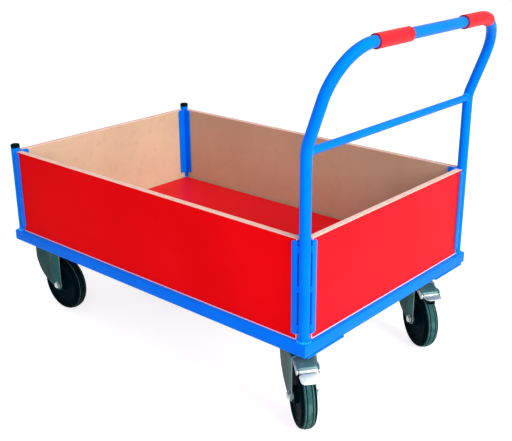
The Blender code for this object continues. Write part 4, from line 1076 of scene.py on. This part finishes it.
# %% [markdown]
# ## Caster tops
# Both kinds hang from a flat plate with four bolts. Under a swivel's plate come a pressed race cup, a
# ring of balls and the dish on the fork's crown. All of these are round about the kingpin, so each is
# one list of radii and heights, which is shorter and truer than stacking cylinders.

# %% A plate with its bolts
PLATE_LONG, PLATE_WIDE, PLATE_THICK, PLATE_ROUND = 0.120, 0.100, 0.0035, 0.008
BOLT_AHEAD, BOLT_ASIDE = 0.046, 0.038
PLATE_HEAD = ((0.0080, 0.0012), 0.0011, 0.0130, 0.0044)
PLATE_TOP = box_of("swivel_plate_near")[1][2] - 0.004
PLATE_FOOT = PLATE_TOP - PLATE_THICK


def top_plate(origin):
    """An eased plate with its four bolt heads below it."""
    flat = plate(eased_box(PLATE_LONG, PLATE_WIDE, PLATE_ROUND, 6), PLATE_THICK, 0.0006)
    grids = [closed(laid(flat, origin + Z * (PLATE_TOP - PLATE_THICK / 2), X, Y))]
    for sx, sy in ((-1, -1), (-1, 1), (1, -1), (1, 1)):
        at = origin + X * (sx * BOLT_AHEAD) + Y * (sy * BOLT_ASIDE) + Z * PLATE_FOOT
        grids += head_on_washer(at, -Z, *PLATE_HEAD)
    return grids


print(f"plates from {PLATE_FOOT:.4f} to {PLATE_TOP:.4f}")

# %% Races and kingpins
CUP_FOOT = PLATE_TOP - 0.012
CROWN = 0.188
CUP = [
    (0.0, PLATE_TOP - 0.002), (0.0270, PLATE_FOOT), (0.0292, CUP_FOOT + 0.004), (0.0300, CUP_FOOT + 0.0008),
    (0.0296, CUP_FOOT), (0.0, CUP_FOOT),
]
KINGPIN = [(0.0, CUP_FOOT + 0.002), (0.0070, CUP_FOOT + 0.001), (0.0070, CROWN - 0.004), (0.0, CROWN - 0.005)]
KINGPIN_HEAD = [
    (0.0, CROWN - 0.0033), (0.0110, CROWN - 0.0036), (0.0120, CROWN - 0.0046), (0.0115, CROWN - 0.0080),
    (0.0080, CROWN - 0.0093), (0.0, CROWN - 0.0093),
]
BALLS = [
    (0.0152, CUP_FOOT - 0.0003), (0.0280, CUP_FOOT - 0.0003), (0.0290, CUP_FOOT - 0.0022),
    (0.0280, CUP_FOOT - 0.0042), (0.0152, CUP_FOOT - 0.0042),
]
for side in ("near", "far"):
    origin, turn, trail = caster_of("swivel", side)
    profiles = ((CUP, 64), (KINGPIN_HEAD, 40), (KINGPIN, 32))
    grids = top_plate(origin) + [turned(profile, origin, Z, count) for profile, count in profiles]
    add_piece(f"top_plate_{side}", grids, zinc, "chassis", (f"swivel_plate_{side}",))
    add_piece(
        f"ball_race_{side}", [turned(BALLS, origin, Z, 64)], bright, "chassis",
        (f"swivel_race_{side}",), rows_wrap=True,
    )

# %% [markdown]
# ## The brake's hood
# Ahead of the crown the swivel fork runs down into a hood, drawn from the same sheet, that ends above
# the hinge. A bent box would show hard creases, so it is an inverted channel with rounded shoulders,
# carried along a short falling line.

# %% The hood
PIVOT_AHEAD, PIVOT_UP, LUG = 0.050, 0.088, 0.0070
HOOD_HALF, HOOD_CHEEK, HOOD_CORNER, HOOD_SHEET = 0.0262, 0.011, 0.009, 0.0024


def hood_sheet(trail):
    """Channel points (y, h) set along a smooth line of (ahead, up), h being square to the line."""
    px, pz = trail + PIVOT_AHEAD, AXLE_UP + PIVOT_UP
    brow = np.array([px - 0.0005, pz + LUG - 0.0012])
    start = np.array([trail + LEG_AHEAD - 0.010, CROWN - 0.0015])
    bend = np.array([trail + LEG_AHEAD + 0.012, CROWN - 0.0012])
    t = np.linspace(0, 1, 18)[:, None]
    line = start * (1 - t) ** 2 + bend * 2 * t * (1 - t) + brow * t**2
    along = unit(np.gradient(line, axis=0))
    turn = np.linspace(0, np.pi / 2, 8)
    round_y, round_h = HOOD_CORNER * np.cos(turn[1:]), HOOD_CORNER * np.sin(turn[1:])
    y = np.concatenate([[HOOD_HALF, HOOD_HALF], HOOD_HALF - HOOD_CORNER + round_y, [0.006]])
    h = np.concatenate([[-HOOD_CHEEK, -HOOD_CORNER], -HOOD_CORNER + round_h, [0.0]])
    y, h = np.concatenate([y, -y[::-1]]), np.concatenate([h, h[::-1]])
    x = line[:, :1] - along[:, 1:] * h
    z = line[:, 1:] + along[:, :1] * h
    return np.stack([x, np.broadcast_to(y, x.shape), z], axis=-1)


print("a hood's grid:", hood_sheet(FIXED_TRAIL).shape)

# %% The ears of the hinge
EAR_FACE, EAR_SHEET = 0.027, 0.003


def lug_plate(trail, side):
    """An ear of the hinge: a round end joined by straight sides to the hood's cheek."""
    px, pz = trail + PIVOT_AHEAD, AXLE_UP + PIVOT_UP
    turn = np.radians(np.linspace(60, -150, 22))[:, None]
    ear = np.concatenate([px + LUG * np.cos(turn), pz + LUG * np.sin(turn)], axis=-1)
    root = np.array([[px - 0.016, pz + 0.004], [px - 0.015, pz + 0.011], [px - 0.004, pz + LUG + 0.003]])
    outline = np.concatenate([ear, root])[::-1]
    flat = closed(plate(outline, EAR_SHEET, 0.0005))
    return np.stack([flat[..., 0], side * (EAR_FACE - EAR_SHEET / 2) + flat[..., 2], flat[..., 1]], axis=-1)


print("an ear's grid:", lug_plate(FIXED_TRAIL, 1).shape)

# %% The hinge pin and the dish
HINGE_PIN = [
    (0.0, -0.0278), (0.0034, -0.0276), (0.0040, -0.0270), (0.0025, -0.0262),
    (0.0025, 0.0262), (0.0040, 0.0270), (0.0034, 0.0276), (0.0, 0.0278),
]
DISH_TOP = CUP_FOOT - 0.0045
DISH = [
    (0.0, DISH_TOP), (0.0290, DISH_TOP), (0.0300, DISH_TOP - 0.0008), (0.0300, CROWN + 0.004),
    (0.0318, CROWN + 0.001), (0.0340, CROWN - 0.001), (0.0, CROWN - 0.001),
]
print(f"dish from {CROWN - 0.001:.4f} to {DISH_TOP:.4f}")


# %% Make the forks
def add_fork(name, top, splay, body, node):
    """A pressed fork on its caster, with its wall laid on both sides of the sheet's middle."""
    origin, turn, trail = caster_of(*name.split("_"))
    leg, mark = fork_sheet(trail, top - SHEET / 2, splay)
    add_piece(
        f"fork_{name}", [in_caster(leg, origin, turn)], [fork_zinc_with_painted_reflection, edge_zinc_with_painted_highlight], body, (node,),
        wall=SHEET, open_sheet=True, mark=mark,
    )
    return origin, turn, trail


for side in ("near", "far"):
    swivel = f"swivel_{side}"
    origin, turn, trail = add_fork(swivel, CROWN, SWIVEL_SPLAY, swivel, f"swivel_fork_{side}")
    hood = in_caster(hood_sheet(trail), origin, turn)
    add_piece(
        f"brake_hood_{side}", [hood], [zinc, edge_zinc_with_painted_highlight], swivel, wall=HOOD_SHEET, open_sheet=True,
    )
    pivot = np.array([trail + PIVOT_AHEAD, 0.0, AXLE_UP + PIVOT_UP])
    hinge = [lug_plate(trail, sign) for sign in (-1, 1)] + [turned(HINGE_PIN, pivot, Y, 24)]
    hinge = [in_caster(part, origin, turn) for part in hinge]
    dish = in_caster(turned(DISH, np.zeros(3), Z, 64), origin, turn)
    add_piece(f"brake_ears_{side}", hinge, nut_zinc, swivel)
    add_piece(f"race_dish_{side}", [dish], zinc, swivel)
    origin, _, _ = add_fork(f"fixed_{side}", PLATE_FOOT + 0.0020, FIXED_SPLAY, "chassis", f"fixed_fork_{side}")
    add_piece(f"fixed_plate_{side}", top_plate(origin), zinc, "chassis")

# %% [markdown]
# ## Brake pedals
# A pedal is a barrel on the hinge pin with a foot plate that widens and ends in round corners. Foot
# and barrel are bright zinc, and the narrow sheet between them takes the dark fork zinc as painted shade
# under the barrel. A rubber shoe under it meets the tyre when the pedal is down. One pedal is down and
# the other is up. Each could be modelled as it stands, but then the two would differ. So one pedal is
# worked out level and one shoe where it meets the tyre, and both are turned about the hinge.

# %% The foot plate
HEAD_AT, HEAD_LONG, TIP_AT, TIP_ROUND = 0.0064, 0.0060, 0.0225, 0.0085
NECK_HALF, HEAD_GROWTH, TIP_LOSS = 0.0140, 0.0080, 0.0030


def foot_plate():
    """Half widths that grow by a quarter ellipse at the head, narrow evenly, and end in a rounded tip."""
    quarter = np.linspace(0, np.pi / 2, 12)
    head = HEAD_AT + HEAD_LONG * (1 - np.cos(quarter))
    tip = TIP_AT + TIP_ROUND * np.sin(quarter)[1:]
    x = np.concatenate([head, np.linspace(0.0130, TIP_AT, 9), tip])
    grown = np.sqrt(1 - np.clip((head[-1] - x) / HEAD_LONG, 0, 1) ** 2)
    narrowed = np.clip((x - head[-1]) / (tip[-1] - head[-1]), 0, 1)
    cut = np.clip((x - TIP_AT) / TIP_ROUND, 0, 1)
    half = NECK_HALF + HEAD_GROWTH * grown - TIP_LOSS * narrowed - TIP_ROUND * (1 - np.sqrt(1 - cut**2))
    right = np.stack([x, -half], axis=-1)
    return np.concatenate([right, (right * [1, -1])[::-1]])


foot_long, foot_half = foot_plate().max(axis=0)
print(f"foot plate: reaches {foot_long:.4f} from the hinge, {2 * foot_half:.4f} wide")

# %% The shoe, and a turn about the hinge
PEDAL_DOWN, PEDAL_TRAVEL = math.radians(42.0), math.radians(42.0)
SHOE_INSIDE, SHOE_WIDE = 0.0803, 0.0150


def nose_down(ahead, up, angle):
    """(a cos t + u sin t, u cos t - a sin t): a turn by t that takes the nose down."""
    c, s = math.cos(angle), math.sin(angle)
    return ahead * c + up * s, up * c - ahead * s


def tilted(grid, pivot, angle):
    """Turns (ahead, across, up) about the hinge."""
    moved = grid - pivot
    ahead, up = nose_down(moved[..., 0], moved[..., 2], angle)
    return np.stack([ahead, moved[..., 1], up], axis=-1) + pivot


def shoe_block(pivot):
    """The outline (ahead, up) of an arc just outside the tyre and a root under the lowered pedal, as a
    plate that stands across the wheel."""
    at = np.radians(np.linspace(62.0, 54.0, 8))
    tread = SHOE_INSIDE * np.stack([np.cos(at), np.sin(at)], axis=-1) - [PIVOT_AHEAD, PIVOT_UP]
    root = np.stack(nose_down(np.array([0.0120, 0.0010]), -0.0012, PEDAL_DOWN), axis=-1)
    block = plate(np.concatenate([tread, root])[::-1], SHOE_WIDE, 0.0010)
    return closed(np.stack([block[..., 0], block[..., 2], block[..., 1]], axis=-1) + pivot)


print("a shoe's grid:", shoe_block(np.zeros(3)).shape)

# %% Make the pedals
BARREL_HALF, BARREL_RADIUS, PIN_HOLE = 0.0205, 0.00525, 0.0026
BARREL = [
    (PIN_HOLE, -BARREL_HALF), (0.0050, -BARREL_HALF), (BARREL_RADIUS, -0.0201),
    (BARREL_RADIUS, 0.0201), (0.0050, BARREL_HALF), (PIN_HOLE, BARREL_HALF),
]
for side, angle in (("near", PEDAL_DOWN), ("far", PEDAL_DOWN - PEDAL_TRAVEL)):
    origin, turn, trail = caster_of("swivel", side)
    pivot = np.array([trail + PIVOT_AHEAD, 0.0, AXLE_UP + PIVOT_UP])
    barrel = closed(turned(BARREL, pivot, Y, 32))
    pad = closed(laid(plate(foot_plate(), 0.0030, 0.0009), pivot, X, Y))
    # The neck's dark zinc is a painted shade line between barrel and foot plate.
    neck = plate(eased_box(0.0100, 2 * NECK_HALF, 0.0010, 3), 0.0016, 0.0004)
    neck = closed(laid(neck, pivot + [0.0055, 0, -0.0012], X, Y))
    parts = ((barrel, 0), (pad, 0), (neck, 1))
    grids = [(in_caster(tilted(part, pivot, angle), origin, turn), number) for part, number in parts]
    add_piece(
        f"pedal_{side}", grids, [bright, fork_zinc_with_painted_reflection], f"brake_{side}", (f"brake_pedal_{side}",),
    )
    block = in_caster(tilted(shoe_block(pivot), pivot, angle - PEDAL_DOWN), origin, turn)
    add_piece(f"brake_block_{side}", [block], rubber, f"brake_{side}", (f"brake_shoe_{side}",))

# %% [markdown]
# ## Stage, light and camera
# The cart stands on a plain pale floor that fades into a white background. A sweep of paper could be
# modelled behind it. Here floor and world are white to the camera and to mirrors, and pale to all other
# light, so that the cart keeps its shadow and its own colours. A broad lamp at the handle end lights
# the end board and the raw board facing it, and a softer one in front fills the near side. The camera
# stands where the photograph was taken from.

# %% White to the eye
RAYS = ("Camera", "Glossy", "Transmission")


def white_to_the_eye(recipe, lit, white, output):
    """Shows white to camera, mirror and see-through rays, and the lit shader to all the others."""
    camera, mirror, through = (recipe.node("ShaderNodeLightPath", {}, out=f"Is {ray} Ray") for ray in RAYS)
    seen = camera.maths("MAXIMUM", camera.maths("MAXIMUM", camera, mirror), through)
    mixed = recipe.node("ShaderNodeMixShader", {}, seen, lit, white)
    recipe.feed(recipe.tree.nodes[output].inputs["Surface"], mixed)


print("rays that see white:", ", ".join(RAYS))

# %% Floor
FLOOR_GLOW = 0.70
FLOOR_HALF, FLOOR_DROP = 30.0, 0.0004
corners = [(sx * FLOOR_HALF, sy * FLOOR_HALF, -FLOOR_DROP) for sx, sy in ((-1, -1), (1, -1), (1, 1), (-1, 1))]
floor_mesh = bpy.data.meshes.new("floor")
floor_mesh.from_pydata(corners, [], [(0, 1, 2, 3)])
floor = bpy.data.objects.new("floor", floor_mesh)
bpy.context.scene.collection.objects.link(floor)
floor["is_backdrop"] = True
pale = Finish("pale floor", roughness=0.9, shine=0.1)
floor_mesh.materials.append(pale.set(Base_Color=(0.72, 0.72, 0.72)))
lit = Wire(pale, pale.shader.outputs[0])
glow = pale.node("ShaderNodeEmission", {}, Strength=FLOOR_GLOW)
white_to_the_eye(pale, lit, pale.node("ShaderNodeAddShader", {}, lit, glow), "Material Output")
print(f"floor: {2 * FLOOR_HALF:.0f} m wide, {FLOOR_DROP * 1000:.1f} mm below zero height")

# %% World
WORLD_LIGHT = 0.44
world = bpy.data.worlds.new("studio")
bpy.context.scene.world = world
world.use_nodes = True
air = Recipe(world.node_tree)
soft, white = (air.node("ShaderNodeBackground", {}, (1, 1, 1), light) for light in (WORLD_LIGHT, 1.0))
white_to_the_eye(air, soft, white, "World Output")
print("light from all round:", WORLD_LIGHT)


# %% Lamps
def add_lamp(name, place, target, power, size, colour):
    """A square lamp of so many watts and metres, turned to face its target."""
    lamp = bpy.data.lights.new(name, "AREA")
    lamp.energy, lamp.size, lamp.color = power, size, colour
    stand = bpy.data.objects.new(name, lamp)
    stand.location = place
    stand.rotation_mode = "QUATERNION"
    stand.rotation_quaternion = (Vector(target) - Vector(place)).to_track_quat("-Z", "Y")
    bpy.context.scene.collection.objects.link(stand)
    print(f"{name}: {power:.0f} W, {size} m wide")


add_lamp("handle end lamp", (4.8, -0.45, 2.8), (0.0, 0.0, 0.4), 290.0, 2.7, (0.84, 1.0, 0.92))
add_lamp("front lamp", (1.7, -2.6, 1.5), (0.3, -0.2, 0.3), 33.0, 1.4, (0.94, 0.70, 1.0))

# %% Where the photograph was taken from
EYE = np.array([1.4881, -1.6153, 1.1452])
YAW, PITCH, ROLL = (math.radians(angle) for angle in (-41.326, -20.574, -0.345))
PIXELS, FOCAL, SIGHT = (512, 441), 863.2, (259.9, 218.85)
view_line = np.array([math.sin(YAW) * math.cos(PITCH), math.cos(YAW) * math.cos(PITCH), math.sin(PITCH)])
level = unit(np.cross(view_line, Z))
above = np.cross(level, view_line)
right = math.cos(ROLL) * level + math.sin(ROLL) * above
upwards = math.cos(ROLL) * above - math.sin(ROLL) * level
print("looks along:", view_line.round(4))

# %% Camera
lens = bpy.data.cameras.new("camera")
lens.sensor_width = 36.0
lens.lens = FOCAL * lens.sensor_width / PIXELS[0]
lens.shift_x = (PIXELS[0] / 2 - SIGHT[0]) / PIXELS[0]
lens.shift_y = (SIGHT[1] - PIXELS[1] / 2) / PIXELS[0]
lens.clip_start, lens.clip_end = 0.05, 100.0
camera = bpy.data.objects.new("camera", lens)
axes = np.stack([right, upwards, -view_line], axis=1)
camera.matrix_world = Matrix([[*row, at] for row, at in zip(axes, EYE)] + [[0, 0, 0, 1]])
bpy.context.scene.collection.objects.link(camera)
bpy.context.scene.camera = camera
bpy.context.scene.view_settings.view_transform = "Standard"
print(f"camera: {lens.lens:.1f} mm lens, {np.linalg.norm(EYE):.2f} m from the floor under the cart's middle")

# %% [markdown]
# ## A last look at the numbers
# The dressed model should fill the box of the measured solids and not pass it, so its box is printed
# in the same form as the measured one.

# %% The finished model's box, in the same form as the measured one
size_lines += [[round(value, 5) for value in corner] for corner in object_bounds()]
print("dressed box in metres:", size_lines[2:])
